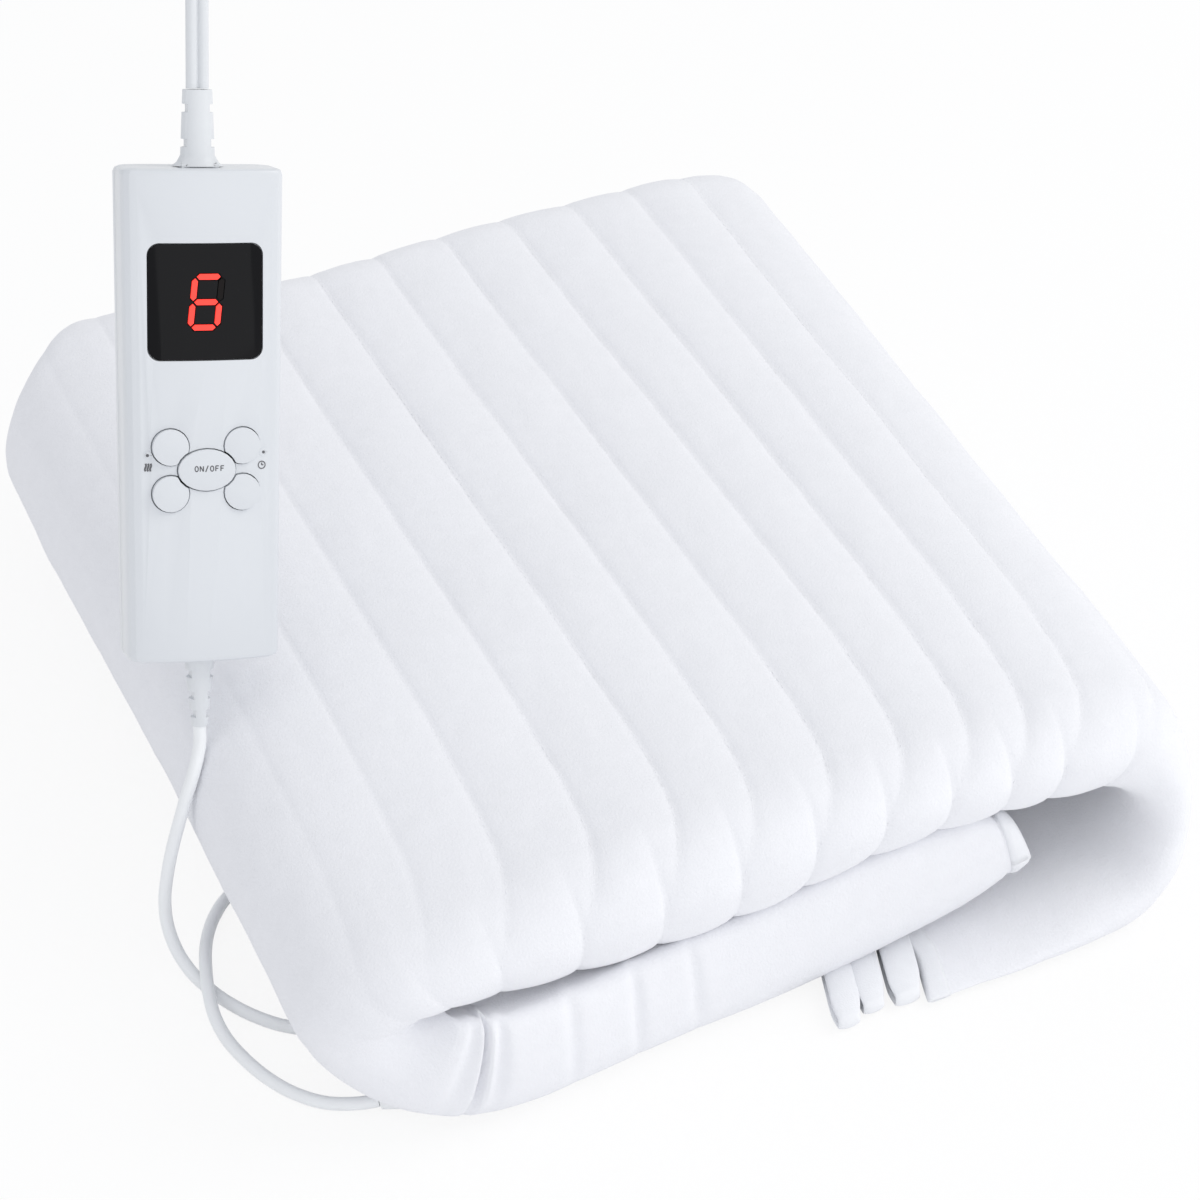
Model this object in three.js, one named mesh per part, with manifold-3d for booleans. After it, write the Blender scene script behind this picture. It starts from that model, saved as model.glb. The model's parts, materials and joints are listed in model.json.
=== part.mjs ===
// Folded heated underblanket with its hand controller.
// Millimetres, +Z up. The origin is on the standing surface under the folded pad,
// +X runs across the sewn channels and -Y is the rolled front edge.

import * as THREE from 'three';
import { mergeVertices } from 'three/addons/utils/BufferGeometryUtils.js';
import Module from 'manifold-3d';

const wasm = await Module();
wasm.setup();

// Clearances
const SEAT = 0.3; // between pieces that touch
const MERGE = 0.003; // points nearer than this are one
const OVERRUN = 3; // how far a cut runs past what it cuts

// Facets of round pieces
const SMALL_SIDES = 12;
const ROUND_SIDES = 16;
const KEY_SIDES = 24;

// Folded pad
const PAD_LEFT = -158;
const PAD_WIDTH = 320;
const PAD_HEIGHT = 92;
const PAD_FRONT = -204;
const PAD_LENGTH = 400;
const CHANNEL_PITCH = 26;
const CHANNEL_DATUM = 4; // a seam of the top panel crosses X here
const SEAM_DEPTH = 2.6;
const END_ROLL = 24; // how far the rolled ends take to reach full thickness
const FLOOR_END_ROLL = 12; // the same where the pad lies on the floor
const REAR_FLARE = 27; // the right side stands out at the back

// Heating wire and the pocket it lies in
const WIRE_DIAMETER = 2.4;
const WIRE_SPAN_CHANNELS = 2; // it runs in every second channel
const WIRE_END_MARGIN = 30;
const WIRE_BED = 0.4; // above the backing
const WIRE_ROOM = 1.5; // between the wire and the cover, taken up where the pad bends
const WIRE_SIDES = 6;
const POCKET_HEIGHT = WIRE_DIAMETER + WIRE_BED + WIRE_ROOM;
const POCKET_EDGE = 40; // solid sewn edge round the pocket

// Hem tapes on the two free ends
const HEM_THICKNESS = 1.6;
const HEM_REACH = 13;
const HEM_LAND = 15;

// Elastic corner straps
const STRAP_WIDTH = 8.4;
const STRAP_THICKNESS = 1.5;
const STRAP_SPACING = 10.2;
const STRAP_FIRST_SHARE = 0.5734; // of the pad's width, where the first one lies
const STRAP_COUNT = 3;
const STRAP_FRONT = -201;
const STRAP_TAIL = -146;
const STRAP_LOOP_RADIUS = 1.9;

// Controller housing
const HOUSING_LENGTH = 160;
const HOUSING_TOP_WIDTH = 52.4;
const HOUSING_BOTTOM_WIDTH = 50;
const HOUSING_DEPTH = 26;
const FRONT_BULGE = 3.2;
const FRONT_CORNER = 4.4;
const BACK_CORNER = 6.4;
const END_CORNER = 1.8;
const END_ROUND = 1;
const WALL = 2.4;
const PARTING_Y = 3;
const TONGUE_HEIGHT = 2;
const TONGUE_WALL = 1.1;

// Where the controller hangs: the tip of its lower strain relief, and its turn, lean and roll
const CORD_EXIT = [-148.4, -50.4, 78];
const CONTROLLER_TURN_DEG = -3.92;
const CONTROLLER_LEAN_DEG = -23.85;
const CONTROLLER_ROLL_DEG = 10.4;

// Display
const WINDOW_SIZE = 37;
const WINDOW_CORNER = 4;
const WINDOW_THICKNESS = 1.6;
const WINDOW_LEDGE = 2;
const DISPLAY_DROP = 42; // under the housing's upper end
const DISPLAY_Z = HOUSING_LENGTH - DISPLAY_DROP;
const DISPLAY_LAND_Y = -8.6;
const DIGIT_WIDTH = 10.4;
const DIGIT_HEIGHT = 18;
const DIGIT_STROKE = 1.8;
const DIGIT_SLANT_DEG = 6;
const DIGIT_MITRE = 0.5;
const DIGIT_INLAY = 0.7;
const DISPLAY_BODY = [20, 10.6, 25];

// Keys
const KEYPAD_DROP = 54.2; // under the display
const KEYPAD_Z = DISPLAY_Z - KEYPAD_DROP;
const KEY_LAND_Y = -8.2;
const KEY_LAND = [41, 33];
const OVAL_HALF_WIDTH = 9.4;
const OVAL_HALF_HEIGHT = 6.8;
const ROUND_KEY_RADIUS = 5.9;
const ROUND_KEY_X = 11.7;
const ROUND_KEY_RISE = 7.6;
const KEY_GAP = 0.6;
const KEY_CLEARANCE = 0.35;
const KEY_PROUD = 0.7;
const KEY_TRAVEL = 0.8;
const KEY_FLANGE = 1.1;
const KEY_FLANGE_THICKNESS = 1;
const KEY_BAR_WIDTH = 7;
const KEY_STEM_RADIUS = 1.7;
const LAMP_RADIUS = 1;
const LAMP_X = 19;
const LAMP_RISE = 5;
const LAMP_LENGTH = 2.6;

// Circuit board and what it carries
const BOARD_WIDTH = 33;
const BOARD_THICKNESS = 1.6;
const BOARD_FACE_Y = 0.5;
const BOARD_BOTTOM_Z = 15;
const BOARD_TOP_DROP = 14;
const BOARD_TOP_Z = HOUSING_LENGTH - BOARD_TOP_DROP;
const BOARD_BACK_Y = BOARD_FACE_Y + BOARD_THICKNESS;
const SWITCH_BODY = [6, 3.5, 6];
const PLUNGER_RADIUS = 1.7;
const PLUNGER_HEIGHT = 1.2;
const RELAY_BODY = [15, 7.2, 19];
const RELAY_Z = DISPLAY_Z;
const CHIP_BODY = [7, 1.6, 12];
const CHIP_Z = KEYPAD_Z;
const TERMINAL_BODY = [12, 7, 8];
const TERMINAL_Z = 22;
const CAPACITOR_RADIUS = 3.7;
const CAPACITOR_LENGTH = 15;
const CAPACITOR_Z = (RELAY_Z + CHIP_Z) / 2;
const FUSE_RADIUS = 2.6;
const FUSE_LENGTH = 20;
const FUSE_DROP = 22;
const FUSE_Z = HOUSING_LENGTH - FUSE_DROP;

// Screws and posts
const SCREW_SHANK_RADIUS = 1.3;
const SCREW_HEAD_RADIUS = 2.7;
const SCREW_HEAD_HEIGHT = 2;
const SCREW_SINK = 1;
const SCREW_BITE = 9;
const SCREW_INSET_X = 6.9;
const SCREW_INSET_Z = 9;
const POST_RADIUS = 4.2;
const BOARD_POST_RADIUS = 2.4;
const BOARD_POST_X = 13;
const BOARD_POST_RISE = 42; // the lower pair, over the housing's lower end
const BOARD_POST_DROP = 60; // the upper pair, under its upper end

// Strain reliefs
const LEAD_RELIEF = { length: 24.4, width: 16.9, depth: 12 };
const CORD_RELIEF = { length: 24.5, width: 10.4, depth: 9.4 };
const RELIEF_NECK_SHARE = 0.72;
const RELIEF_FLANGE = [16.6, 12.4];
const RELIEF_FLANGE_THICKNESS = 2;
const RELIEF_SLOT = [2.6, 1.5];
const RELIEF_SIDES = 16;

// Mains lead and plug
const STRAND_DIAMETER = 3.8;
const STRAND_PITCH = 3.6;
const STRAND_SIDES = 10;
const LEAD_LENGTH = 52;
const PLUG_WIDTH = 35;
const PLUG_DEPTH = 13.7;
const PLUG_LENGTH = 36;
const PLUG_TAIL = 12;
const PLUG_NECK = [11, 8];
const PLUG_CORNER = 4;
const PIN_RADIUS = 2;
const PIN_LENGTH = 19;
const PIN_SPACING = 18.6;
const PIN_SEAT = 9;

// Cord from the controller to the pad: down to the floor, under the left fold,
// out again, over itself and into the front left corner
const CORD_DIAMETER = 4.4;
const CORD_ROUTE = [
  [-148.4, -50.4, 78], [-149.8, -53, 72], [-153.9, -57.4, 65], [-158.4, -60.4, 57.6],
  [-162.4, -63, 50], [-166.6, -66, 42], [-169.9, -68.4, 33.6], [-172.2, -70.2, 24.6],
  [-173, -73, 15.6], [-172.2, -78.8, 8.2], [-170, -86, 3.8], [-167.4, -93, 2.5],
  [-163.6, -102.4, 2.4], [-157.6, -112.6, 2.4], [-149.6, -121.6, 2.4], [-139.8, -127.6, 2.4],
  [-128.8, -128.8, 2.4], [-119.6, -124, 2.4], [-115, -115, 2.4], [-114.2, -103, 2.4],
  [-114.6, -90, 2.4], [-115.6, -77, 2.4], [-118.4, -64, 2.4], [-125.4, -54.4, 2.4],
  [-136, -51.4, 2.4], [-146, -54.8, 2.4], [-153.6, -62.2, 2.5], [-159, -71, 3.6],
  [-163, -80.6, 5.8], [-166, -90, 7.4], [-168.4, -99, 6.9], [-169.8, -108.4, 4.4],
  [-169.4, -118, 2.7], [-167.4, -128, 2.4], [-163.6, -139.6, 2.4], [-157.8, -150.4, 2.4],
  [-149.8, -159.4, 2.8], [-140.4, -165.2, 4], [-134.5, -167.4, 4.9],
];
const CORD_STEPS = 72;
const CORD_SIDES = 8;

// Gland where the cord enters the pad
const GLAND_START = [-134.2, -167.6, 4.9];
const GLAND_END = [-111, -175.4, 9.5];
const GLAND_TIP_RADIUS = 3;
const GLAND_RADIUS = 4.4;
const GLAND_TAPER_SHARE = 0.3; // of its length
const GLAND_SIDES = 16;

const colours = {
  fleece: [0xf2f3f7, 0.95, 0], elastic: [0xe9eaee, 0.9, 0], wire: [0xb5532f, 0.6, 0],
  shell: [0xe9ebee, 0.35, 0], key: [0xdfe3e8, 0.4, 0], window: [0x060607, 0.08, 0],
  lit: [0xff3b2a, 0.4, 0], unlit: [0x1a0a09, 0.4, 0], board: [0x1f6b3a, 0.6, 0],
  dark: [0x1b1b1d, 0.6, 0], grey: [0x9a9da3, 0.6, 0], steel: [0xb9bcc2, 0.3, 1],
  rubber: [0xeceef1, 0.5, 0], blue: [0x2f5fae, 0.5, 0], glassy: [0xd8dde0, 0.15, 0],
};

// Geometry helpers

const { lerp, clamp, degToRad, smoothstep } = THREE.MathUtils;
const point = (x, y, z) => new THREE.Vector3(x, y, z);

function volumeOf(geometry) {
  const position = geometry.getAttribute('position');
  const index = geometry.getIndex().array;
  const corner = (i) => point().fromBufferAttribute(position, index[i]);
  let sum = 0;
  for (let i = 0; i < index.length; i += 3) {
    sum += corner(i).dot(corner(i + 1).cross(corner(i + 2)));
  }
  return sum / 6;
}

// Points and triangles as one closed surface that faces outwards. Triangles that close up
// to a line, as at a rolled edge, are left out.
function closedGeometry(points, faces) {
  const raw = new THREE.BufferGeometry().setFromPoints(points);
  raw.setIndex(faces.flat());
  const merged = mergeVertices(raw, MERGE);
  const index = merged.getIndex().array;
  const kept = [];
  for (let i = 0; i < index.length; i += 3) {
    const [a, b, c] = index.slice(i, i + 3);
    if (a !== b && b !== c && c !== a) kept.push(a, b, c);
  }
  merged.setIndex(kept);
  if (volumeOf(merged) < 0) merged.setIndex(kept.reverse());
  return merged;
}

// Rings of equally many points, joined one to the next, the two ends closed by fans
function loftGeometry(rings) {
  const around = rings[0].length;
  const points = rings.flat();
  const faces = [];
  for (let r = 0; r + 1 < rings.length; r += 1) {
    for (let i = 0; i < around; i += 1) {
      const a = r * around + i;
      const b = r * around + ((i + 1) % around);
      faces.push([a, b, b + around], [a, b + around, a + around]);
    }
  }
  const middle = (ring) => ring.reduce((sum, p) => sum.add(p), point()).divideScalar(around);
  const last = (rings.length - 1) * around;
  points.push(middle(rings[0]), middle(rings[rings.length - 1]));
  for (let i = 0; i < around; i += 1) {
    const next = (i + 1) % around;
    faces.push([next, i, points.length - 2], [last + i, last + next, points.length - 1]);
  }
  return closedGeometry(points, faces);
}

// A layer between two grids of points, grid[column][row]
function layerGeometry(upper, lower) {
  const columns = upper.length;
  const rows = upper[0].length;
  const up = (i, j) => i * rows + j;
  const down = (i, j) => (columns + i) * rows + j;
  const faces = [];
  const quad = (a, b, c, d) => faces.push([a, b, c], [a, c, d]);
  for (let i = 0; i + 1 < columns; i += 1) {
    for (let j = 0; j + 1 < rows; j += 1) {
      quad(up(i, j), up(i + 1, j), up(i + 1, j + 1), up(i, j + 1));
      quad(down(i, j), down(i, j + 1), down(i + 1, j + 1), down(i + 1, j));
    }
    quad(down(i, 0), down(i + 1, 0), up(i + 1, 0), up(i, 0));
    quad(up(i, rows - 1), up(i + 1, rows - 1), down(i + 1, rows - 1), down(i, rows - 1));
  }
  for (let j = 0; j + 1 < rows; j += 1) {
    quad(up(0, j), up(0, j + 1), down(0, j + 1), down(0, j));
    quad(down(columns - 1, j), down(columns - 1, j + 1), up(columns - 1, j + 1), up(columns - 1, j));
  }
  return closedGeometry([...upper.flat(), ...lower.flat()], faces);
}

const turnBetween = (from, to) => new THREE.Quaternion().setFromUnitVectors(from, to);

// A round tube through a list of points, turned as little as it can be from one to the next
function tubeGeometry(points, radius, sides) {
  const tangents = points.map((p, i) => {
    const incoming = i ? p.clone().sub(points[i - 1]).normalize() : point();
    const outgoing = i + 1 < points.length ? points[i + 1].clone().sub(p).normalize() : point();
    return incoming.add(outgoing).normalize();
  });
  const across = point(1, 0, 0).cross(tangents[0]).normalize();
  const rings = points.map((p, i) => {
    if (i) across.applyQuaternion(turnBetween(tangents[i - 1], tangents[i]));
    return Array.from({ length: sides }, (_, k) => across.clone()
      .applyAxisAngle(tangents[i], (2 * Math.PI * k) / sides).multiplyScalar(radius).add(p));
  });
  return loftGeometry(rings);
}

function solidOf(geometry) {
  const bare = new THREE.BufferGeometry();
  bare.setAttribute('position', geometry.getAttribute('position'));
  bare.setIndex(geometry.getIndex());
  const merged = mergeVertices(bare);
  return new wasm.Manifold(new wasm.Mesh({
    numProp: 3,
    vertProperties: new Float32Array(merged.getAttribute('position').array),
    triVerts: new Uint32Array(merged.getIndex().array),
  }));
}

function geometryOf(solid) {
  const mesh = solid.getMesh();
  const geometry = new THREE.BufferGeometry();
  geometry.setAttribute('position', new THREE.BufferAttribute(new Float32Array(mesh.vertProperties), 3));
  geometry.setIndex(new THREE.BufferAttribute(new Uint32Array(mesh.triVerts), 1));
  return geometry;
}

const joined = (solids) => solids.reduce((sum, solid) => sum.add(solid));
const cutBy = (solid, tools) => tools.reduce((left, tool) => left.subtract(tool), solid);

// A prism along Y between two depths, its outline drawn in X and Z
function prism(shape, fromY, toY, curveSegments = 12) {
  const settings = { depth: toY - fromY, bevelEnabled: false, curveSegments };
  const geometry = new THREE.ExtrudeGeometry(shape, settings);
  return solidOf(geometry.rotateX(Math.PI / 2).translate(0, toY, 0));
}

// A block by its middle and its size along X, Y and Z
function block(x, y, z, [width, depth, height]) {
  return solidOf(new THREE.BoxGeometry(width, depth, height).translate(x, y, z));
}

// A round post along Y
function postY(radius, x, z, fromY, toY, sides = ROUND_SIDES) {
  const geometry = new THREE.CylinderGeometry(radius, radius, toY - fromY, sides);
  return solidOf(geometry.translate(x, (fromY + toY) / 2, z));
}

// A round bar along X or Z, from its middle
function bar(radius, length, turn, x, y, z, sides = ROUND_SIDES) {
  const geometry = new THREE.CylinderGeometry(radius, radius, length, sides);
  return solidOf(geometry.applyMatrix4(turn).translate(x, y, z));
}
const alongX = new THREE.Matrix4().makeRotationZ(Math.PI / 2);
const alongZ = new THREE.Matrix4().makeRotationX(Math.PI / 2);

function ovalShape(halfWidth, halfHeight, x, z) {
  return new THREE.Shape().absellipse(x, z, halfWidth, halfHeight, 0, 2 * Math.PI);
}

function roundedShape(width, height, corner, x, z) {
  const shape = new THREE.Shape();
  const [left, right, low, high] = [x - width / 2, x + width / 2, z - height / 2, z + height / 2];
  shape.moveTo(left + corner, low);
  shape.lineTo(right - corner, low);
  shape.absarc(right - corner, low + corner, corner, -Math.PI / 2, 0);
  shape.lineTo(right, high - corner);
  shape.absarc(right - corner, high - corner, corner, 0, Math.PI / 2);
  shape.lineTo(left + corner, high);
  shape.absarc(left + corner, high - corner, corner, Math.PI / 2, Math.PI);
  shape.lineTo(left, low + corner);
  shape.absarc(left + corner, low + corner, corner, Math.PI, 1.5 * Math.PI);
  return shape;
}

function piece(name, geometry, colour) {
  const [color, roughness, metalness] = colours[colour];
  const mesh = new THREE.Mesh(geometry, new THREE.MeshStandardMaterial({ color, roughness, metalness }));
  mesh.name = name;
  return mesh;
}

const solidPiece = (name, solid, colour) => piece(name, geometryOf(solid), colour);

// The folded pad. Its section is drawn as shares of the pad's width and height, from the free
// hemmed end of the middle flap, round the left fold, along the top, round the right fold and
// back along the under flap. The third share is how far the front edge stands back.

const outerFoldShares = [
  [0.7875, 0.37, 0.045], [0.74, 0.33, 0.045], [0.66, 0.28, 0.045], [0.58, 0.13, 0.044],
  [0.52, 0.002, 0.042], [0.38, 0, 0.036], [0.23, 0, 0.029], [0.144, 0.05, 0.028],
  [0.075, 0.163, 0.038], [0.022, 0.326, 0.056], [0, 0.52, 0.062], [0.022, 0.74, 0.058],
  [0.075, 0.88, 0.052], [0.156, 0.94, 0.05], [0.25, 0.953, 0.05], [0.34, 0.957, 0.05],
  [0.431, 0.965, 0.05], [0.52, 0.974, 0.05], [0.606, 0.985, 0.05], [0.69, 0.995, 0.048],
  [0.778, 1, 0.045], [0.885, 0.99, 0.04], [0.95, 0.915, 0.035], [0.984, 0.715, 0.028],
  [0.99, 0.48, 0.02], [0.974, 0.225, 0.01], [0.935, 0.06, 0.004], [0.88, 0, 0],
  [0.77, 0, 0], [0.725, 0.03, 0.002], [0.67, 0.032, 0.004],
];
const innerFoldShares = [
  [0.7875, 0.52], [0.74, 0.565], [0.65, 0.56], [0.56, 0.49],
  [0.49, 0.432], [0.37, 0.408], [0.23, 0.402], [0.169, 0.408],
  [0.137, 0.424], [0.124, 0.446], [0.118, 0.467], [0.124, 0.486],
  [0.142, 0.492], [0.172, 0.476], [0.25, 0.43], [0.334, 0.427],
  [0.43, 0.445], [0.506, 0.485], [0.58, 0.56], [0.67, 0.598],
  [0.77, 0.606], [0.844, 0.604], [0.884, 0.588], [0.907, 0.53],
  [0.914, 0.446], [0.904, 0.36], [0.885, 0.31], [0.844, 0.3],
  [0.76, 0.285], [0.715, 0.25], [0.67, 0.18],
];
const FLOOR_RUN_SHARE = 0.2; // of the height, under which nothing is seen of the channels
const FLAP_RUN_SHARE = 0.2; // of the fold, which the middle flap takes up
const RIGHT_SIDE_SHARES = [0.62, 1];
const REAR_REACH_SHARES = [0.018, -0.012, 0.35]; // back edge beyond the length, left and right
const REAR_CORNER_SHARES = [0.063, 0.14]; // how far the back left corner stands in, and its width
const HEIGHT_FRONT_SHARE = 0.9;
const HEIGHT_REAR_SHARE = 1.08;
const LEFT_CORNER_DROP_SHARE = 0.13;
const LEFT_CORNER_REACH_SHARE = 0.42;
const FLARE_EASE_SHARE = 0.75;
const rollShares = [0, 0.14, 0.5, 1]; // rows through a rolled end, as shares of the roll
const FOLD_STEPS = 900; // along the section, to measure it
const FRONT_SETBACK_SHARE = 0.045;
const REAR_SETBACK_SHARE = 0.02;

const POCKET_FRONT = PAD_FRONT + POCKET_EDGE + PAD_LENGTH * FRONT_SETBACK_SHARE;
const POCKET_BACK = PAD_FRONT + PAD_LENGTH - POCKET_EDGE - PAD_LENGTH * REAR_SETBACK_SHARE;
const MIDDLE_ROW = (POCKET_FRONT + POCKET_BACK) / 2;

const foldPoint = ([acrossShare, highShare, backShare = 0]) => point(
  PAD_LEFT + acrossShare * PAD_WIDTH, backShare * PAD_LENGTH, highShare * PAD_HEIGHT);
const outerFold = new THREE.CatmullRomCurve3(outerFoldShares.map(foldPoint), false, 'centripetal');
const innerFold = new THREE.CatmullRomCurve3(innerFoldShares.map(foldPoint), false, 'centripetal');

// The pad is lower at its front left corner, higher at the back, and wider at the back right
function settled(p) {
  const back = clamp((p.y - PAD_FRONT) / PAD_LENGTH, 0, 1);
  const across = (p.x - PAD_LEFT) / PAD_WIDTH;
  const corner = (1 - smoothstep(across, 0, LEFT_CORNER_REACH_SHARE))
    * (1 - smoothstep(back, 0, LEFT_CORNER_REACH_SHARE));
  const rise = lerp(HEIGHT_FRONT_SHARE, HEIGHT_REAR_SHARE, back) - LEFT_CORNER_DROP_SHARE * corner;
  const flare = REAR_FLARE * smoothstep(across, ...RIGHT_SIDE_SHARES) * back ** FLARE_EASE_SHARE;
  return point(p.x + flare, p.y, p.z * rise);
}

// One place along the fold: the layer's middle, its two faces, the sewn outer face and its ends
function foldSection(t, s, sewn) {
  const outer = outerFold.getPoint(t);
  const inner = innerFold.getPoint(t);
  const depth = sewn ? SEAM_DEPTH : 0;
  const across = smoothstep((outer.x - PAD_LEFT) / PAD_WIDTH, 0, REAR_REACH_SHARES[2]);
  const corner = 1 - smoothstep((outer.x - PAD_LEFT) / PAD_WIDTH, 0, REAR_CORNER_SHARES[1]);
  const reach = lerp(REAR_REACH_SHARES[0], REAR_REACH_SHARES[1], across) - REAR_CORNER_SHARES[0] * corner;
  const roll = lerp(FLOOR_END_ROLL, END_ROLL, smoothstep(outer.z, 0, PAD_HEIGHT / 2));
  const front = PAD_FRONT + outer.y + depth;
  const back = PAD_FRONT + PAD_LENGTH * (1 + reach) - depth;
  outer.set(outer.x, 0, Math.max(outer.z, 0));
  inner.y = 0;
  const middle = outer.clone().lerp(inner, 0.5);
  const quilted = outer.clone().addScaledVector(inner.clone().sub(outer).normalize(), depth);
  const half = middle.distanceTo(outer);
  const bed = middle.clone().lerp(inner, POCKET_HEIGHT / 2 / half);
  const ceiling = middle.clone().lerp(outer, POCKET_HEIGHT / 2 / half);
  const wire = bed.clone().lerp(ceiling, (WIRE_BED + WIRE_DIAMETER / 2) / POCKET_HEIGHT);
  const full = (share) => Math.sqrt(1 - (1 - share) ** 2);
  const rows = [
    ...rollShares.map((share) => [front + share * roll, full(share)]),
    [POCKET_FRONT, 1], [MIDDLE_ROW, 1], [POCKET_BACK, 1],
    ...[...rollShares].reverse().map((share) => [back - share * roll, full(share)]),
  ];
  return { s, middle, outer, inner, quilted, bed, ceiling, wire, rows };
}

// The sections of the pad: a seam and a crown for each channel that shows, one for the others
function foldSections() {
  const along = [0];
  const points = outerFold.getPoints(FOLD_STEPS);
  for (let i = 1; i <= FOLD_STEPS; i += 1) {
    along.push(along[i - 1] + Math.hypot(points[i].x - points[i - 1].x, points[i].z - points[i - 1].z));
  }
  const total = along[FOLD_STEPS];
  const datum = along[points.findIndex((p) => p.z > PAD_HEIGHT / 2 && p.x >= CHANNEL_DATUM)];
  const at = (s) => {
    const i = Math.max(1, along.findIndex((value) => value >= s));
    return (i - (along[i] - s) / (along[i] - along[i - 1])) / FOLD_STEPS;
  };
  const sections = [foldSection(0, 0, false), foldSection(at(HEM_LAND), HEM_LAND, false)];
  const half = CHANNEL_PITCH / 2;
  const first = Math.ceil((HEM_LAND + half / 2 - datum) / half);
  for (let k = first; datum + k * half < total - HEM_LAND - half / 2; k += 1) {
    const s = datum + k * half;
    const t = at(s);
    const hidden = outerFold.getPoint(t).z < PAD_HEIGHT * FLOOR_RUN_SHARE || t < FLAP_RUN_SHARE;
    const seam = k % 2 === 0;
    if (!hidden || seam) sections.push(foldSection(t, s, seam && !hidden));
  }
  sections.push(foldSection(at(total - HEM_LAND), total - HEM_LAND, false), foldSection(1, total, false));
  return { sections, datum, total };
}

const { sections: folds, datum: foldDatum, total: foldLength } = foldSections();

// A point of one of a section's faces at a place along the pad, on the flats between its rows
function rowPoint(section, face, y) {
  const { rows, middle } = section;
  const exact = ([rowY, thick]) => {
    const p = middle.clone().lerp(section[face], thick);
    return settled(point(p.x, rowY, p.z));
  };
  const next = clamp(rows.findIndex(([rowY]) => rowY >= y), 1, rows.length - 1);
  const [before, after] = [rows[next - 1], rows[next]];
  const share = after[0] > before[0] ? (y - before[0]) / (after[0] - before[0]) : 0;
  return exact(before).lerp(exact(after), share);
}

// The same between two sections
function padPoint(face, s, y) {
  const next = clamp(folds.findIndex((section) => section.s >= s), 1, folds.length - 1);
  const [before, after] = [folds[next - 1], folds[next]];
  const share = (s - before.s) / (after.s - before.s);
  return rowPoint(before, face, y).lerp(rowPoint(after, face, y), share);
}

const pocketFirst = folds.findIndex((section) => section.s > POCKET_EDGE);
const pocketLast = folds.findLastIndex((section) => section.s < foldLength - POCKET_EDGE);

// Outer fleece with its sewn channels. It wraps both rolled ends and forms the wire's pocket.
function fleeceCover(tools) {
  const upper = [];
  const lower = [];
  const pocketRows = [POCKET_FRONT, MIDDLE_ROW, POCKET_BACK];
  folds.forEach((section, i) => {
    const ys = section.rows.map(([y]) => y);
    const rolled = rollShares.length;
    const between = [POCKET_FRONT, ...pocketRows, POCKET_BACK];
    const places = [...ys.slice(0, rolled), ...between, ...ys.slice(-rolled)];
    const outside = places.map((y) => rowPoint(section, 'quilted', y));
    const plain = places.map((y) => rowPoint(section, 'inner', y));
    const hollow = places.map((y, j) => {
      const within = j > rolled && j <= rolled + pocketRows.length;
      return within ? rowPoint(section, 'ceiling', y) : plain[j];
    });
    const edge = i === pocketFirst || i === pocketLast;
    const inside = i >= pocketFirst && i <= pocketLast;
    if (edge) upper.push(outside, outside);
    else upper.push(outside);
    if (i === pocketFirst) lower.push(plain, hollow);
    else if (i === pocketLast) lower.push(hollow, plain);
    else lower.push(inside ? hollow : plain);
  });
  return cutBy(solidOf(layerGeometry(upper, lower)), tools);
}

// Inner backing sheet, let into the cover behind the wire
function backingSheet() {
  const from = folds[pocketFirst].s + SEAT;
  const to = folds[pocketLast].s - SEAT;
  const places = [from, ...folds.slice(pocketFirst + 1, pocketLast).map((section) => section.s), to];
  const rows = [POCKET_FRONT + SEAT, MIDDLE_ROW, POCKET_BACK - SEAT];
  const face = (name) => places.map((s) => rows.map((y) => padPoint(name, s, y)));
  return layerGeometry(face('bed'), face('inner'));
}

// Heating wire: one serpentine, a run in every second channel, its turns corner to corner
const wireTurnShares = [1 / 3, 1 / 2, 2 / 3];
const WIRE_TURN_REACH_SHARE = 0.7;

function heatingWire() {
  const step = CHANNEL_PITCH * WIRE_SPAN_CHANNELS;
  const radius = step / 2;
  const low = POCKET_FRONT + WIRE_END_MARGIN;
  const high = POCKET_BACK - WIRE_END_MARGIN;
  const start = foldDatum + CHANNEL_PITCH / 2;
  const first = Math.ceil((POCKET_EDGE + CHANNEL_PITCH - start) / step);
  const last = Math.floor((foldLength - POCKET_EDGE - CHANNEL_PITCH - start) / step);
  const route = [];
  for (let k = first; k <= last; k += 1) {
    const s = start + k * step;
    const upward = (k - first) % 2 === 0;
    const [from, to] = upward ? [low, high] : [high, low];
    route.push([s, from], [s, MIDDLE_ROW], [s, to]);
    if (k < last) {
      wireTurnShares.forEach((share) => {
        const out = WIRE_TURN_REACH_SHARE * radius * Math.sin(share * Math.PI) * (upward ? 1 : -1);
        route.push([s + radius * (1 - Math.cos(share * Math.PI)), to + out]);
      });
    }
  }
  return tubeGeometry(route.map(([s, y]) => padPoint('wire', s, y)), WIRE_DIAMETER / 2, WIRE_SIDES);
}

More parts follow.
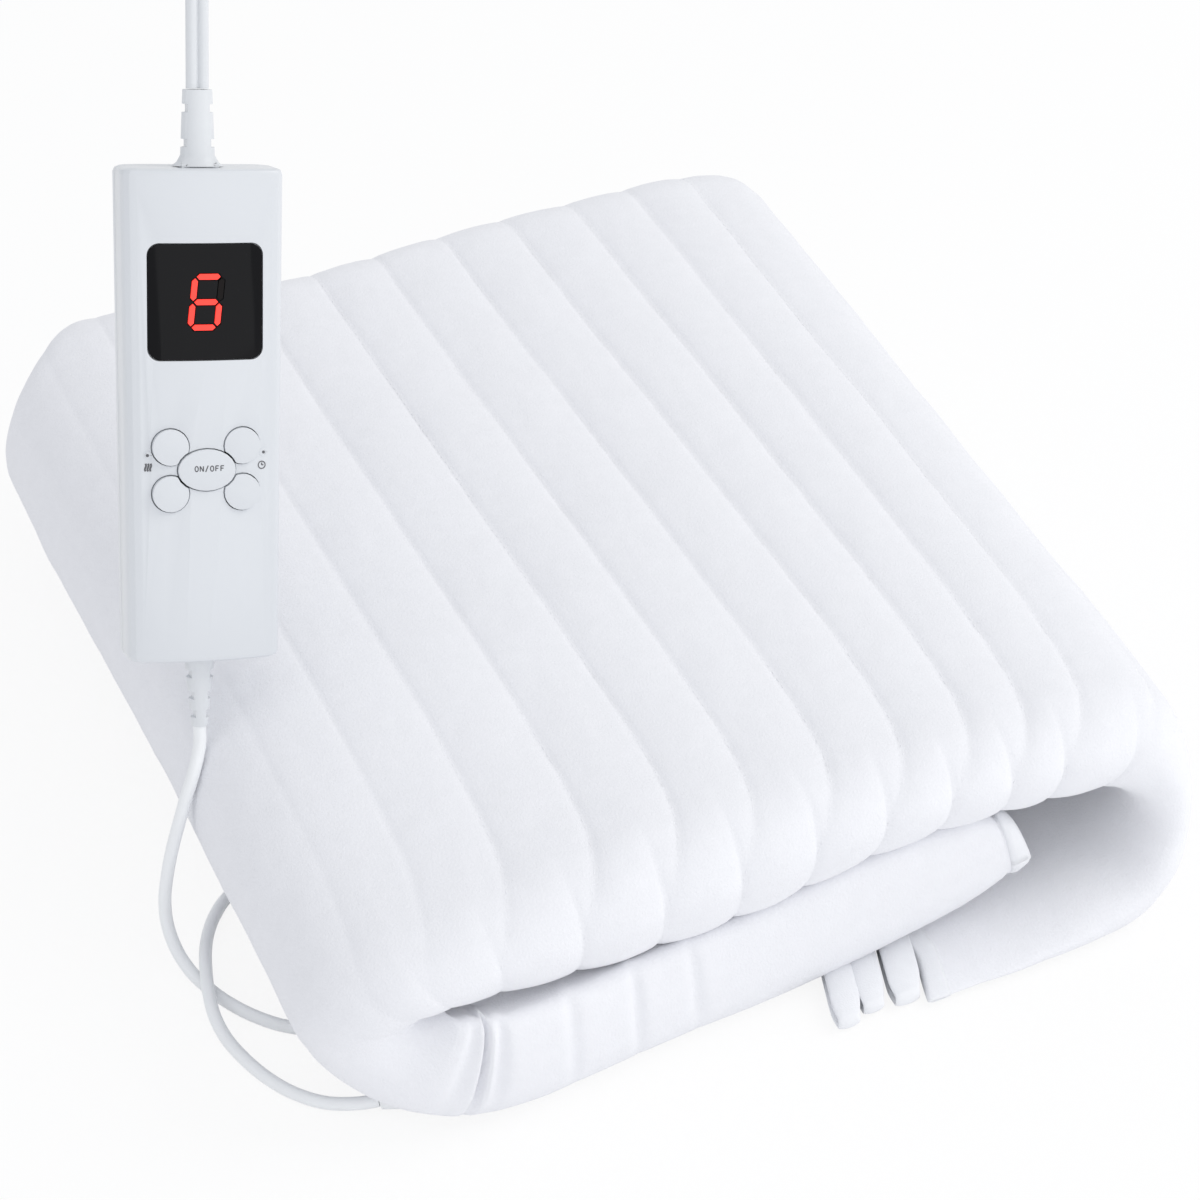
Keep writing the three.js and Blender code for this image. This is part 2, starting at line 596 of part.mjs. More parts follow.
// Tape folded over a free end of the pad
function hemTape(endS, landS) {
  const end = folds[endS ? folds.length - 1 : 0];
  const ys = end.rows.slice(rollShares.length - 1, 1 - rollShares.length).map(([y]) => y);
  const columns = Array.from({ length: 2 * 6 }, () => []);
  ys.forEach((y) => {
    const [low, high] = [padPoint('outer', endS, y), padPoint('inner', endS, y)];
    const [lowIn, highIn] = [padPoint('outer', landS, y), padPoint('inner', landS, y)];
    const out = low.clone().sub(lowIn).setY(0).normalize();
    const across = high.clone().sub(low).setY(0).normalize();
    const legs = [lowIn, low, low, high, high, highIn];
    const outward = [[-1, 0], [-1, 0], [0, 1], [0, 1], [1, 0], [1, 0]];
    const inward = [[-1, 0], [-1, 1], [-1, 1], [1, 1], [1, 1], [1, 0]];
    legs.forEach((leg, i) => {
      const offset = ([acrossShare, outShare], by) => leg.clone()
        .addScaledVector(across, acrossShare * by).addScaledVector(out, outShare * by);
      columns[i].push(offset(outward[i], SEAT + HEM_THICKNESS));
      columns[6 + i].push(offset(inward[i], SEAT));
    });
  });
  return layerGeometry(columns.slice(0, 6), columns.slice(6));
}

// Elastic straps, each a loop of ribbon that comes out from under the middle flap
const strapDipShares = [0.3, 0.5]; // where the ribbon comes down to the floor, along the strap
const STRAP_RETURN_SHARE = 0.62;
const STRAP_DIP_SHARE = 2 / 3; // of the loop's radius, its height at the first of them

function cornerStrap(x) {
  const half = STRAP_THICKNESS / 2;
  const flapZ = undersideAt(x - STRAP_WIDTH / 2, STRAP_TAIL);
  const low = half + SEAT;
  const loop = STRAP_LOOP_RADIUS;
  const front = STRAP_FRONT + loop + half;
  const along = (share) => lerp(STRAP_TAIL, STRAP_FRONT, share);
  const path = [
    [STRAP_TAIL, flapZ - SEAT - half], [along(strapDipShares[0]), low + STRAP_DIP_SHARE * loop],
    [along(strapDipShares[1]), low], [front, low],
    [front - loop * Math.SQRT1_2, low + loop * (1 - Math.SQRT1_2)], [front - loop, low + loop],
    [front - loop * Math.SQRT1_2, low + loop * (1 + Math.SQRT1_2)], [front, low + 2 * loop],
    [along(STRAP_RETURN_SHARE), low + 2 * loop],
  ].map(([y, z]) => new THREE.Vector2(y, z));
  const side = (sign) => path.map((p, i) => {
    const [before, after] = [path[Math.max(i - 1, 0)], path[Math.min(i + 1, path.length - 1)]];
    const ahead = after.clone().sub(before).normalize();
    return p.clone().add(new THREE.Vector2(-ahead.y, ahead.x).multiplyScalar(sign * half));
  });
  const edges = [x - STRAP_WIDTH / 2, x + STRAP_WIDTH / 2];
  const grid = (sign) => side(sign).map((p) => edges.map((edge) => point(edge, p.x, p.y)));
  return layerGeometry(grid(1), grid(-1));
}

// Height of the pad's underside over a place between the floor run and the middle flap's end
function undersideAt(x, y) {
  const edge = folds.map((section) => rowPoint(section, 'outer', y));
  const i = edge.findIndex((p, k) => k && p.x <= x);
  return lerp(edge[i].z, edge[i - 1].z, (x - edge[i].x) / (edge[i - 1].x - edge[i].x));
}

// Cord gland in the front left corner, and the socket it leaves in the cover
function glandSolid(grow) {
  const [from, to] = [point(...GLAND_START), point(...GLAND_END)];
  const along = to.clone().sub(from).normalize();
  const length = from.distanceTo(to);
  const profile = [
    [-grow, 0], [-grow, GLAND_TIP_RADIUS + grow], [GLAND_TAPER_SHARE * length, GLAND_RADIUS + grow],
    [length + grow, GLAND_RADIUS + grow], [length + grow, 0],
  ];
  const points = profile.map(([height, radius]) => new THREE.Vector2(radius, height));
  const geometry = new THREE.LatheGeometry(points, GLAND_SIDES);
  return solidOf(geometry.applyQuaternion(turnBetween(point(0, 1, 0), along)).translate(...GLAND_START));
}

// The controller, drawn upright with its housing's lower end at zero, its keys facing -Y

const FRONT_Y = -HOUSING_DEPTH / 2;
const BACK_Y = HOUSING_DEPTH / 2;
const endRoundShares = [[0, 1], [0.3, 0.3], [1, 0]];
const frontShares = [-1, -0.67, -0.33, 0, 0.33, 0.67, 1];
const cornerTurns = [30, 60, 90];

const halfWidthAt = (z) => lerp(HOUSING_BOTTOM_WIDTH, HOUSING_TOP_WIDTH, z / HOUSING_LENGTH) / 2;
const faceYAt = (x, z) => FRONT_Y + FRONT_BULGE * (x / halfWidthAt(z)) ** 2;

function housingRing(z, insetShare, wall) {
  const half = halfWidthAt(z) - insetShare * END_CORNER - wall;
  const front = FRONT_Y + insetShare * END_ROUND + wall;
  const back = BACK_Y - insetShare * END_ROUND - wall;
  const frontCorner = FRONT_CORNER - wall;
  const backCorner = BACK_CORNER - wall;
  const faceY = (x) => front + FRONT_BULGE * (x / (half + wall)) ** 2;
  const side = (sign) => [
    ...cornerTurns.map((turn) => [half - frontCorner + frontCorner * Math.sin(degToRad(turn)),
      faceY(half - frontCorner) + frontCorner * (1 - Math.cos(degToRad(turn)))]),
    [half, back - backCorner],
    ...cornerTurns.map((turn) => [half - backCorner + backCorner * Math.cos(degToRad(turn)),
      back - backCorner + backCorner * Math.sin(degToRad(turn))]),
  ].map(([x, y]) => point(sign * x, y, z));
  const face = frontShares.map((share) => share * (half - frontCorner)).map((x) => point(x, faceY(x), z));
  return [...face, ...side(1), ...side(-1).reverse()];
}

function housingSolid(wall) {
  const ends = endRoundShares.map(([rise, inset]) => [wall + rise * END_CORNER, inset]);
  const heights = [...ends, ...[...ends].reverse().map(([z, inset]) => [HOUSING_LENGTH - z, inset])];
  return solidOf(loftGeometry(heights.map(([z, inset]) => housingRing(z, inset, wall))));
}

// What lies between two depths, or within a depth under the face
const slab = (fromY, toY) => block(0, (fromY + toY) / 2, HOUSING_LENGTH / 2,
  [2 * HOUSING_TOP_WIDTH, toY - fromY, 2 * HOUSING_LENGTH]);
const housing = housingSolid(0);
const under = (depth) => housing.translate([0, depth, 0]);
const inlaid = (tool, depth) => tool.intersect(housing).subtract(under(depth));

const screwPlaces = [SCREW_INSET_Z, HOUSING_LENGTH - SCREW_INSET_Z]
  .flatMap((z) => [-1, 1].map((side) => [side * (halfWidthAt(z) - SCREW_INSET_X), z]));
const keyPlaces = [[-1, 1], [-1, -1], [1, 1], [1, -1]]
  .map(([side, up]) => [side * ROUND_KEY_X, KEYPAD_Z + up * ROUND_KEY_RISE]);
const lampPlaces = [-1, 1].map((side) => [side * LAMP_X, KEYPAD_Z + LAMP_RISE]);
const windowShape = (grow) => roundedShape(
  WINDOW_SIZE + 2 * grow, WINDOW_SIZE + 2 * grow, WINDOW_CORNER, 0, DISPLAY_Z);
const ovalKeyShape = (grow) => ovalShape(OVAL_HALF_WIDTH + grow, OVAL_HALF_HEIGHT + grow, 0, KEYPAD_Z);

const screwHoles = (fromY, toY) => screwPlaces.map(([x, z]) => postY(
  SCREW_SHANK_RADIUS + SEAT, x, z, fromY, toY, SMALL_SIDES));

function reliefOpening(z) {
  const [width, depth] = RELIEF_FLANGE.map((size) => size * RELIEF_NECK_SHARE + 2 * SEAT);
  return block(0, 0, z, [width, depth, WALL + 2 * OVERRUN]);
}

const reliefOpenings = () => [WALL / 2, HOUSING_LENGTH - WALL / 2].map(reliefOpening);

function frontShell() {
  const body = housing.intersect(slab(FRONT_Y - OVERRUN, PARTING_Y)).subtract(housingSolid(WALL));
  const land = (z, [width, height], toY) => block(
    0, (FRONT_Y + toY) / 2, z, [width, toY - FRONT_Y, height]);
  const displaySide = WINDOW_SIZE + 2 * WINDOW_LEDGE;
  const lands = [
    land(KEYPAD_Z, KEY_LAND, KEY_LAND_Y),
    land(DISPLAY_Z, [displaySide, displaySide], DISPLAY_LAND_Y),
    ...screwPlaces.map(([x, z]) => postY(POST_RADIUS, x, z, FRONT_Y + WALL / 2, PARTING_Y)),
  ].map((solid) => solid.intersect(housing));
  const groove = housingSolid(WALL - TONGUE_WALL - SEAT).subtract(housingSolid(WALL + SEAT))
    .intersect(slab(PARTING_Y - TONGUE_HEIGHT - SEAT, PARTING_Y + OVERRUN));
  const through = [FRONT_Y - OVERRUN, OVERRUN];
  return cutBy(joined([body, ...lands]), [
    groove,
    prism(ovalKeyShape(KEY_CLEARANCE), ...through),
    ...keyPlaces.map(([x, z]) => postY(ROUND_KEY_RADIUS + KEY_CLEARANCE, x, z, ...through, KEY_SIDES)),
    ...lampPlaces.map(([x, z]) => postY(LAMP_RADIUS + SEAT, x, z, ...through, SMALL_SIDES)),
    prism(windowShape(SEAT), FRONT_Y - OVERRUN, PARTING_Y).subtract(under(WINDOW_THICKNESS + SEAT)),
    prism(windowShape(-WINDOW_LEDGE), FRONT_Y - OVERRUN, PARTING_Y - TONGUE_HEIGHT),
    ...screwHoles(PARTING_Y - SCREW_BITE - SEAT, PARTING_Y + OVERRUN),
    ...reliefOpenings(),
  ]);
}

function rearShell() {
  const body = housing.intersect(slab(PARTING_Y + SEAT, BACK_Y + OVERRUN)).subtract(housingSolid(WALL));
  const tongue = housingSolid(WALL - TONGUE_WALL).subtract(housingSolid(WALL))
    .intersect(slab(PARTING_Y - TONGUE_HEIGHT, PARTING_Y + OVERRUN));
  const posts = screwPlaces.map(([x, z]) => postY(POST_RADIUS, x, z, PARTING_Y + SEAT, BACK_Y - WALL / 2));
  const restHeights = [BOARD_POST_RISE, HOUSING_LENGTH - BOARD_POST_DROP];
  const rests = restHeights.flatMap((z) => [-1, 1].map((side) => postY(
    BOARD_POST_RADIUS, side * BOARD_POST_X, z, BOARD_BACK_Y + SEAT, BACK_Y - WALL / 2, SMALL_SIDES)));
  const headY = BACK_Y - SCREW_SINK - SCREW_HEAD_HEIGHT - SEAT;
  return cutBy(joined([body, tongue, ...posts, ...rests]), [
    ...screwHoles(PARTING_Y - OVERRUN, BACK_Y),
    ...screwPlaces.map(([x, z]) => postY(SCREW_HEAD_RADIUS + SEAT, x, z, headY, BACK_Y + OVERRUN)),
    ...reliefOpenings(),
  ]);
}

function screw([x, z]) {
  const headY = BACK_Y - SCREW_SINK - SCREW_HEAD_HEIGHT;
  return postY(SCREW_SHANK_RADIUS, x, z, PARTING_Y - SCREW_BITE, headY + SCREW_HEAD_HEIGHT / 2, SMALL_SIDES)
    .add(postY(SCREW_HEAD_RADIUS, x, z, headY, headY + SCREW_HEAD_HEIGHT));
}

// Bars of the digit: two corners of its centreline each, as shares of half its size
const digitBars = {
  digit_top: [[-1, 1], [1, 1]],
  digit_upper_left: [[-1, 0], [-1, 1]],
  digit_upper_right: [[1, 0], [1, 1]],
  digit_middle: [[-1, 0], [1, 0]],
  digit_lower_left: [[-1, -1], [-1, 0]],
  digit_lower_right: [[1, -1], [1, 0]],
  digit_bottom: [[-1, -1], [1, -1]],
};
const UNLIT_BAR = 'digit_upper_right';

function digitShape(corners, grow) {
  const halfWidth = (DIGIT_WIDTH - DIGIT_STROKE) / 2;
  const halfHeight = (DIGIT_HEIGHT - DIGIT_STROKE) / 2;
  const [from, to] = corners.map(([x, z]) => new THREE.Vector2(x * halfWidth, z * halfHeight));
  const along = to.clone().sub(from).normalize();
  const across = new THREE.Vector2(-along.y, along.x);
  const half = DIGIT_STROKE / 2;
  const mitre = DIGIT_MITRE - grow * Math.SQRT2;
  const outline = [[from, mitre, 0], [from, mitre + half, 1], [to, -mitre - half, 1],
    [to, -mitre, 0], [to, -mitre - half, -1], [from, mitre + half, -1]];
  const slant = Math.tan(degToRad(DIGIT_SLANT_DEG));
  return new THREE.Shape(outline.map(([end, back, side]) => {
    const p = end.clone().addScaledVector(along, back).addScaledVector(across, side * (half + grow));
    return new THREE.Vector2(p.x + p.y * slant, p.y + DISPLAY_Z);
  }));
}

const barPrism = (corners, grow) => prism(digitShape(corners, grow), FRONT_Y - OVERRUN, PARTING_Y);

function displayWindow() {
  const pane = inlaid(prism(windowShape(0), FRONT_Y - OVERRUN, PARTING_Y), WINDOW_THICKNESS);
  const seats = Object.values(digitBars).map(
    (corners) => barPrism(corners, SEAT).subtract(under(DIGIT_INLAY + SEAT)));
  return cutBy(pane, seats);
}

// Keys: a cap in its opening, a flange behind the shell and a stem over its switch
const FLANGE_Y = KEY_LAND_Y + SEAT;
const STEM_Y = BOARD_FACE_Y - SEAT - SWITCH_BODY[1] - PLUNGER_HEIGHT - KEY_TRAVEL - SEAT;

function roundKey([x, z]) {
  const proud = faceYAt(Math.abs(x) - ROUND_KEY_RADIUS / 2, z) - KEY_PROUD;
  const flangeBack = FLANGE_Y + KEY_FLANGE_THICKNESS;
  const cap = postY(ROUND_KEY_RADIUS, x, z, proud, flangeBack, KEY_SIDES)
    .subtract(prism(ovalKeyShape(KEY_GAP), proud - OVERRUN, FLANGE_Y + OVERRUN));
  const flange = postY(ROUND_KEY_RADIUS + KEY_FLANGE, x, z, FLANGE_Y, flangeBack, KEY_SIDES)
    .subtract(prism(ovalKeyShape(2 * KEY_GAP), FLANGE_Y - OVERRUN, FLANGE_Y + OVERRUN));
  return joined([cap, flange, postY(KEY_STEM_RADIUS, x, z, FLANGE_Y, STEM_Y, SMALL_SIDES)]);
}

function ovalKey() {
  const proud = FRONT_Y - KEY_PROUD;
  const flangeBack = FLANGE_Y + KEY_FLANGE_THICKNESS;
  const reach = 2 * (OVAL_HALF_HEIGHT + KEY_CLEARANCE + KEY_FLANGE);
  return joined([
    prism(ovalKeyShape(0), proud, flangeBack),
    block(0, FLANGE_Y + KEY_FLANGE_THICKNESS / 2, KEYPAD_Z, [KEY_BAR_WIDTH, KEY_FLANGE_THICKNESS, reach]),
    postY(KEY_STEM_RADIUS, 0, KEYPAD_Z, FLANGE_Y, STEM_Y, SMALL_SIDES),
  ]);
}

function tactSwitch([x, z]) {
  const faceY = BOARD_FACE_Y - SEAT - SWITCH_BODY[1];
  return block(x, faceY + SWITCH_BODY[1] / 2, z, SWITCH_BODY)
    .add(postY(PLUNGER_RADIUS, x, z, faceY - PLUNGER_HEIGHT, faceY + SEAT, SMALL_SIDES));
}

function lamp([x, z]) {
  const frontY = faceYAt(x, z);
  return postY(LAMP_RADIUS, x, z, frontY, frontY + LAMP_LENGTH, SMALL_SIDES);
}

const onBoardFront = (size, z) => block(0, BOARD_FACE_Y - SEAT - size[1] / 2, z, size);
const onBoardBack = ([width, depth, height], z, x = 0) => block(
  x, BOARD_BACK_Y + SEAT + depth / 2, z, [width, depth, height]);

function circuitBoard() {
  const height = BOARD_TOP_Z - BOARD_BOTTOM_Z;
  const z = (BOARD_TOP_Z + BOARD_BOTTOM_Z) / 2;
  return block(0, BOARD_FACE_Y + BOARD_THICKNESS / 2, z, [BOARD_WIDTH, BOARD_THICKNESS, height]);
}

// Strain reliefs, drawn outwards from the housing's end: flange, neck, flare and tapering boot
const leadReliefShares = [[0, 1, 1], [0.05, 0.8, 0.86], [0.14, 0.66, 0.74], [1, 0.57, 0.54]];
const cordReliefShares = [[0, 1, 1], [0.12, 0.94, 0.96], [1, 0.52, 0.575]];
const leadSlotShares = [0.31, 0.76];
const cordSlotShares = [0.26, 0.56, 0.82];

function strainRelief({ length, width, depth }, shares, slotShares) {
  const [flangeWidth, flangeDepth] = RELIEF_FLANGE;
  const ring = (z, ringWidth, ringDepth) => Array.from({ length: RELIEF_SIDES }, (_, k) => {
    const angle = (2 * Math.PI * (k + 0.5)) / RELIEF_SIDES;
    return point((ringWidth / 2) * Math.cos(angle), (ringDepth / 2) * Math.sin(angle), z);
  });
  const boot = shares.map(([rise, widthShare, depthShare]) => ring(
    lerp(SEAT, length, rise), width * widthShare, depth * depthShare));
  const inside = -WALL - SEAT;
  const neck = block(0, 0, (SEAT + inside) / 2,
    [flangeWidth * RELIEF_NECK_SHARE, flangeDepth * RELIEF_NECK_SHARE, SEAT - inside + OVERRUN / 2]);
  const flange = block(
    0, 0, inside - RELIEF_FLANGE_THICKNESS / 2, [flangeWidth, flangeDepth, RELIEF_FLANGE_THICKNESS]);
  const [[taperFrom, wideShare], [, tipShare]] = shares.slice(-2);
  const slots = slotShares.flatMap((share) => {
    const here = width * lerp(wideShare, tipShare, (share - taperFrom) / (1 - taperFrom));
    return [-1, 1].map((side) => block(side * (here / 2 - RELIEF_SLOT[1] + width / 2), 0, share * length,
      [width, depth * 2, RELIEF_SLOT[0]]));
  });
  return cutBy(joined([solidOf(loftGeometry(boot)), neck, flange]), slots);
}

// Mains lead, a twin cord, with its plug, drawn upwards from zero
function mainsLead() {
  const strand = (side) => bar(
    STRAND_DIAMETER / 2, LEAD_LENGTH, alongZ, (side * STRAND_PITCH) / 2, 0, LEAD_LENGTH / 2, STRAND_SIDES);
  return strand(-1).add(strand(1));
}

const plugTailShares = [[0, 0], [0.25, 0.25], [1, 1]];
const quarterTurns = [0, 30, 60, 90];

function plugBody(z, holes) {
  const ring = (height, width, depth, corner) => [[1, 1], [-1, 1], [-1, -1], [1, -1]].flatMap(
    ([right, back], quarter) => quarterTurns.map((turn) => {
      const angle = degToRad(turn + 90 * quarter);
      return point(right * (width / 2 - corner) + corner * Math.cos(angle),
        back * (depth / 2 - corner) + corner * Math.sin(angle), height);
    }));
  const [neckWidth, neckDepth] = PLUG_NECK;
  const tail = plugTailShares.map(([rise, wide]) => ring(z + rise * PLUG_TAIL, lerp(neckWidth, PLUG_WIDTH, wide),
    lerp(neckDepth, PLUG_DEPTH, wide), lerp(neckDepth / 2 - SEAT, PLUG_CORNER, wide)));
  const top = ring(z + PLUG_LENGTH, PLUG_WIDTH, PLUG_DEPTH, PLUG_CORNER);
  return cutBy(solidOf(loftGeometry([...tail, top])), holes);
}

function plugPin(side, topZ, grow) {
  const from = topZ - PIN_SEAT - grow;
  const to = topZ + PIN_LENGTH + grow;
  return bar(PIN_RADIUS + grow, to - from, alongZ, (side * PIN_SPACING) / 2, 0, (from + to) / 2, SMALL_SIDES);
}

// Everything that turns with the controller
function controllerPieces() {
  const keyNames = ['button_heat_up', 'button_heat_down', 'button_timer_up', 'button_timer_down'];
  const leadZ = HOUSING_LENGTH + LEAD_RELIEF.length + SEAT;
  const plugZ = leadZ + LEAD_LENGTH + SEAT;
  const plugTop = plugZ + PLUG_LENGTH;
  const partsY = BOARD_BACK_Y + SEAT;
  const pinSides = [-1, 1];
  return [
    solidPiece('controller_front_shell', frontShell(), 'shell'),
    solidPiece('controller_rear_shell', rearShell(), 'shell'),
    solidPiece('display_window', displayWindow(), 'window'),
    solidPiece('display_module', onBoardFront(DISPLAY_BODY, DISPLAY_Z), 'grey'),
    ...Object.entries(digitBars).map(([name, corners]) => solidPiece(
      name, inlaid(barPrism(corners, 0), DIGIT_INLAY), name === UNLIT_BAR ? 'unlit' : 'lit')),
    solidPiece('power_button', ovalKey(), 'key'),
    ...keyPlaces.map((place, i) => solidPiece(keyNames[i], roundKey(place), 'key')),
    ...[[0, KEYPAD_Z], ...keyPlaces].map((place, i) => solidPiece(
      `tact_switch_${i + 1}`, tactSwitch(place), 'dark')),
    ...lampPlaces.map((place, i) => solidPiece(['heat_lamp', 'timer_lamp'][i], lamp(place), 'glassy')),
    solidPiece('circuit_board', circuitBoard(), 'board'),
    solidPiece('relay', onBoardBack(RELAY_BODY, RELAY_Z), 'blue'),
    solidPiece('control_chip', onBoardBack(CHIP_BODY, CHIP_Z), 'dark'),
    solidPiece('terminal_block', onBoardBack(TERMINAL_BODY, TERMINAL_Z), 'grey'),
    solidPiece('capacitor', bar(
      CAPACITOR_RADIUS, CAPACITOR_LENGTH, alongZ, 0, partsY + CAPACITOR_RADIUS, CAPACITOR_Z), 'dark'),
    solidPiece('fuse', bar(FUSE_RADIUS, FUSE_LENGTH, alongX, 0, partsY + FUSE_RADIUS, FUSE_Z), 'glassy'),
    ...screwPlaces.map((place, i) => solidPiece(`screw_${i + 1}`, screw(place), 'steel')),
    solidPiece('lead_strain_relief', strainRelief(LEAD_RELIEF, leadReliefShares, leadSlotShares)
      .translate([0, 0, HOUSING_LENGTH]), 'rubber'),
    solidPiece('cord_strain_relief', strainRelief(CORD_RELIEF, cordReliefShares, cordSlotShares)
      .rotate([0, 180, 0]), 'rubber'),
    solidPiece('mains_lead', mainsLead().translate([0, 0, leadZ]), 'rubber'),
    solidPiece('plug_body', plugBody(plugZ, pinSides.map((side) => plugPin(side, plugTop, SEAT))), 'rubber'),
    ...pinSides.map((side, i) => solidPiece(`plug_pin_${i + 1}`, plugPin(side, plugTop, 0), 'steel')),
  ];
}

// The cord's route, a ring every two to three diameters
function padCord() {
  const path = new THREE.CatmullRomCurve3(CORD_ROUTE.map((p) => point(...p)), false, 'centripetal');
  const points = path.getSpacedPoints(CORD_STEPS);
  const leave = (end, next) => end.add(next.clone().sub(end).setLength(SEAT));
  leave(points[0], points[1]);
  return tubeGeometry(points, CORD_DIAMETER / 2, CORD_SIDES);
}

function build() {
  const part = new THREE.Group();
  const socket = glandSolid(SEAT);
  const strapFirstX = PAD_LEFT + STRAP_FIRST_SHARE * PAD_WIDTH;
  part.add(
    solidPiece('fleece_cover', fleeceCover([socket]), 'fleece'),
    piece('backing_sheet', backingSheet(), 'fleece'),
    piece('heating_wire', heatingWire(), 'wire'),
    piece('flap_hem', hemTape(0, HEM_REACH), 'elastic'),
    piece('under_flap_hem', hemTape(foldLength, foldLength - HEM_REACH), 'elastic'),
    ...Array.from({ length: STRAP_COUNT }, (_, i) => piece(
      `corner_strap_${i + 1}`, cornerStrap(strapFirstX + i * STRAP_SPACING), 'elastic')),
    solidPiece('pad_cord_gland', glandSolid(0), 'rubber'),
    piece('pad_cord', padCord(), 'rubber'),
  );
  const turn = new THREE.Euler(
    degToRad(CONTROLLER_LEAN_DEG), degToRad(CONTROLLER_ROLL_DEG), degToRad(CONTROLLER_TURN_DEG), 'ZXY');
  const pose = new THREE.Matrix4().makeRotationFromEuler(turn).setPosition(...CORD_EXIT)
    .multiply(new THREE.Matrix4().makeTranslation(0, 0, CORD_RELIEF.length));
  controllerPieces().forEach((mesh) => {
    mesh.geometry.applyMatrix4(pose);
    part.add(mesh);
  });
  return part;
}

export default build();
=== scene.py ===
"""Looks of a folded heating pad with its hand controller, in the part's own frame: metres, +Z up.
Named angles are in degrees."""

import json
import math

import bmesh
import bpy
import numpy as np
from mathutils import Matrix, Vector, noise


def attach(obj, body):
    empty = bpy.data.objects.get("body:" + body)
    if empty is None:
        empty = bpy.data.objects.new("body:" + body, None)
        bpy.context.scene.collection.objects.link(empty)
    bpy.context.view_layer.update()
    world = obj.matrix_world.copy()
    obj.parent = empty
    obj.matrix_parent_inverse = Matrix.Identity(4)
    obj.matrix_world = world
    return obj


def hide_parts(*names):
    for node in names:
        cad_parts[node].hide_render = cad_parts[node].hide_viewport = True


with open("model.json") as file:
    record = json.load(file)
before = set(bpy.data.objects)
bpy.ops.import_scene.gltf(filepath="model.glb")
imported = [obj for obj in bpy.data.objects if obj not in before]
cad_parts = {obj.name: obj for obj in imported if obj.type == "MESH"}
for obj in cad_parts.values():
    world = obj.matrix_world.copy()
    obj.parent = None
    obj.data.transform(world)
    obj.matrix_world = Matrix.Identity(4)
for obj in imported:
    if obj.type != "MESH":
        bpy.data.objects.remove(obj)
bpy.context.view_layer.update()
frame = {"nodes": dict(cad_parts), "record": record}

BODY = "pad_and_controller"

# Camera at the photograph's viewing angle
CAMERA_AZIMUTH = -25.1
CAMERA_ELEVATION = 38
CAMERA_DISTANCE = 1.028
CAMERA_FIELD = 22.8
CAMERA_TARGET = (-0.0044, -0.0573, 0.088)
CAMERA_CLIP = 0.05

# Studio: each lamp's place, side, power in watts and colour; all aim at the pad
LAMPS = {
    "key": ((1.5, -0.5, 1.5), 1.2, 13.1, (1, 0.985, 0.94)),
    "front": ((0.1, -1.8, 0.8), 1.6, 6.5, (1, 1, 1)),
    "left": ((-1.8, 0.1, 0.8), 0.8, 1.5, (1, 1, 1)),
}
LAMP_TARGET = (0, 0, 0.05)
WORLD_LEVEL = 0.76
WORLD_COLOUR = (0.955, 0.97, 1.0)
FLOOR_REACH = 3
FLOOR_PAINT = (0.95, 0.95, 0.955)
FLOOR_GLOW_SHARE = 0.86
WHITE = (1, 1, 1, 1)

# Controller, drawn upright with its housing's lower end at zero and its keys facing -Y
CONTROLLER_AT = (-0.1484, -0.0504, 0.078)
CONTROLLER_TURN = -3.92
CONTROLLER_LEAN = -23.85
CONTROLLER_ROLL = 10.4
CORD_RELIEF_LENGTH = 0.0245
LEAD_RELIEF_LENGTH = 0.0244
HOUSING_LENGTH = 0.160
HOUSING_TOP_WIDTH = 0.0524
HOUSING_BOTTOM_WIDTH = 0.050
FACE_Y = -0.013
FACE_BULGE = 0.0032
KEY_PROUD = 0.0007

# Cords
SEAT = 0.0003
CORD_DIAMETER = 0.0044
CORD_SAMPLES = 260
CORD_ROUNDNESS = 6
CORD_ROUTE = [
    (-0.1484, -0.0504, 0.078), (-0.1498, -0.053, 0.072), (-0.1539, -0.0574, 0.065),
    (-0.1584, -0.0604, 0.0576), (-0.1624, -0.063, 0.050), (-0.1666, -0.066, 0.042),
    (-0.1699, -0.0684, 0.0336), (-0.1722, -0.0702, 0.0246), (-0.173, -0.073, 0.0156),
    (-0.1722, -0.0788, 0.0082), (-0.170, -0.086, 0.0038), (-0.1674, -0.093, 0.0025),
    (-0.1636, -0.1024, 0.0024), (-0.1576, -0.1126, 0.0024), (-0.1496, -0.1216, 0.0024),
    (-0.1398, -0.1276, 0.0024), (-0.1288, -0.1288, 0.0024), (-0.1196, -0.124, 0.0024),
    (-0.115, -0.115, 0.0024), (-0.1142, -0.103, 0.0024), (-0.1146, -0.090, 0.0024),
    (-0.1156, -0.077, 0.0024), (-0.1184, -0.064, 0.0024), (-0.1254, -0.0544, 0.0024),
    (-0.136, -0.0514, 0.0024), (-0.146, -0.0548, 0.0024), (-0.1536, -0.0622, 0.0025),
    (-0.159, -0.071, 0.0036), (-0.163, -0.0806, 0.0058), (-0.166, -0.090, 0.0074),
    (-0.1684, -0.099, 0.0069), (-0.1698, -0.1084, 0.0044), (-0.1694, -0.118, 0.0027),
    (-0.1674, -0.128, 0.0024), (-0.1636, -0.1396, 0.0024), (-0.1578, -0.1504, 0.0024),
    (-0.1498, -0.1594, 0.0028), (-0.1404, -0.1652, 0.004), (-0.1345, -0.1674, 0.0049),
]
STRAND_DIAMETER = 0.0038
STRAND_PITCH = 0.0036
LEAD_LENGTH = 0.052
LEAD_STEPS = 16
LEAD_WEB_ANGLE = 10
LEAD_SHARP_ANGLE = 50
LEAD_SIDE_POINTS = 22

# Folded pad
PAD_LEFT = -0.158
PAD_WIDTH = 0.320
PAD_HEIGHT = 0.092
PAD_FRONT = -0.204
PAD_LENGTH = 0.400
CHANNEL_PITCH = 0.026
CHANNEL_DATUM = 0.004
SEAM_DEPTH = 0.0026
END_ROLL = 0.024
FLOOR_END_ROLL = 0.012
REAR_FLARE = 0.027


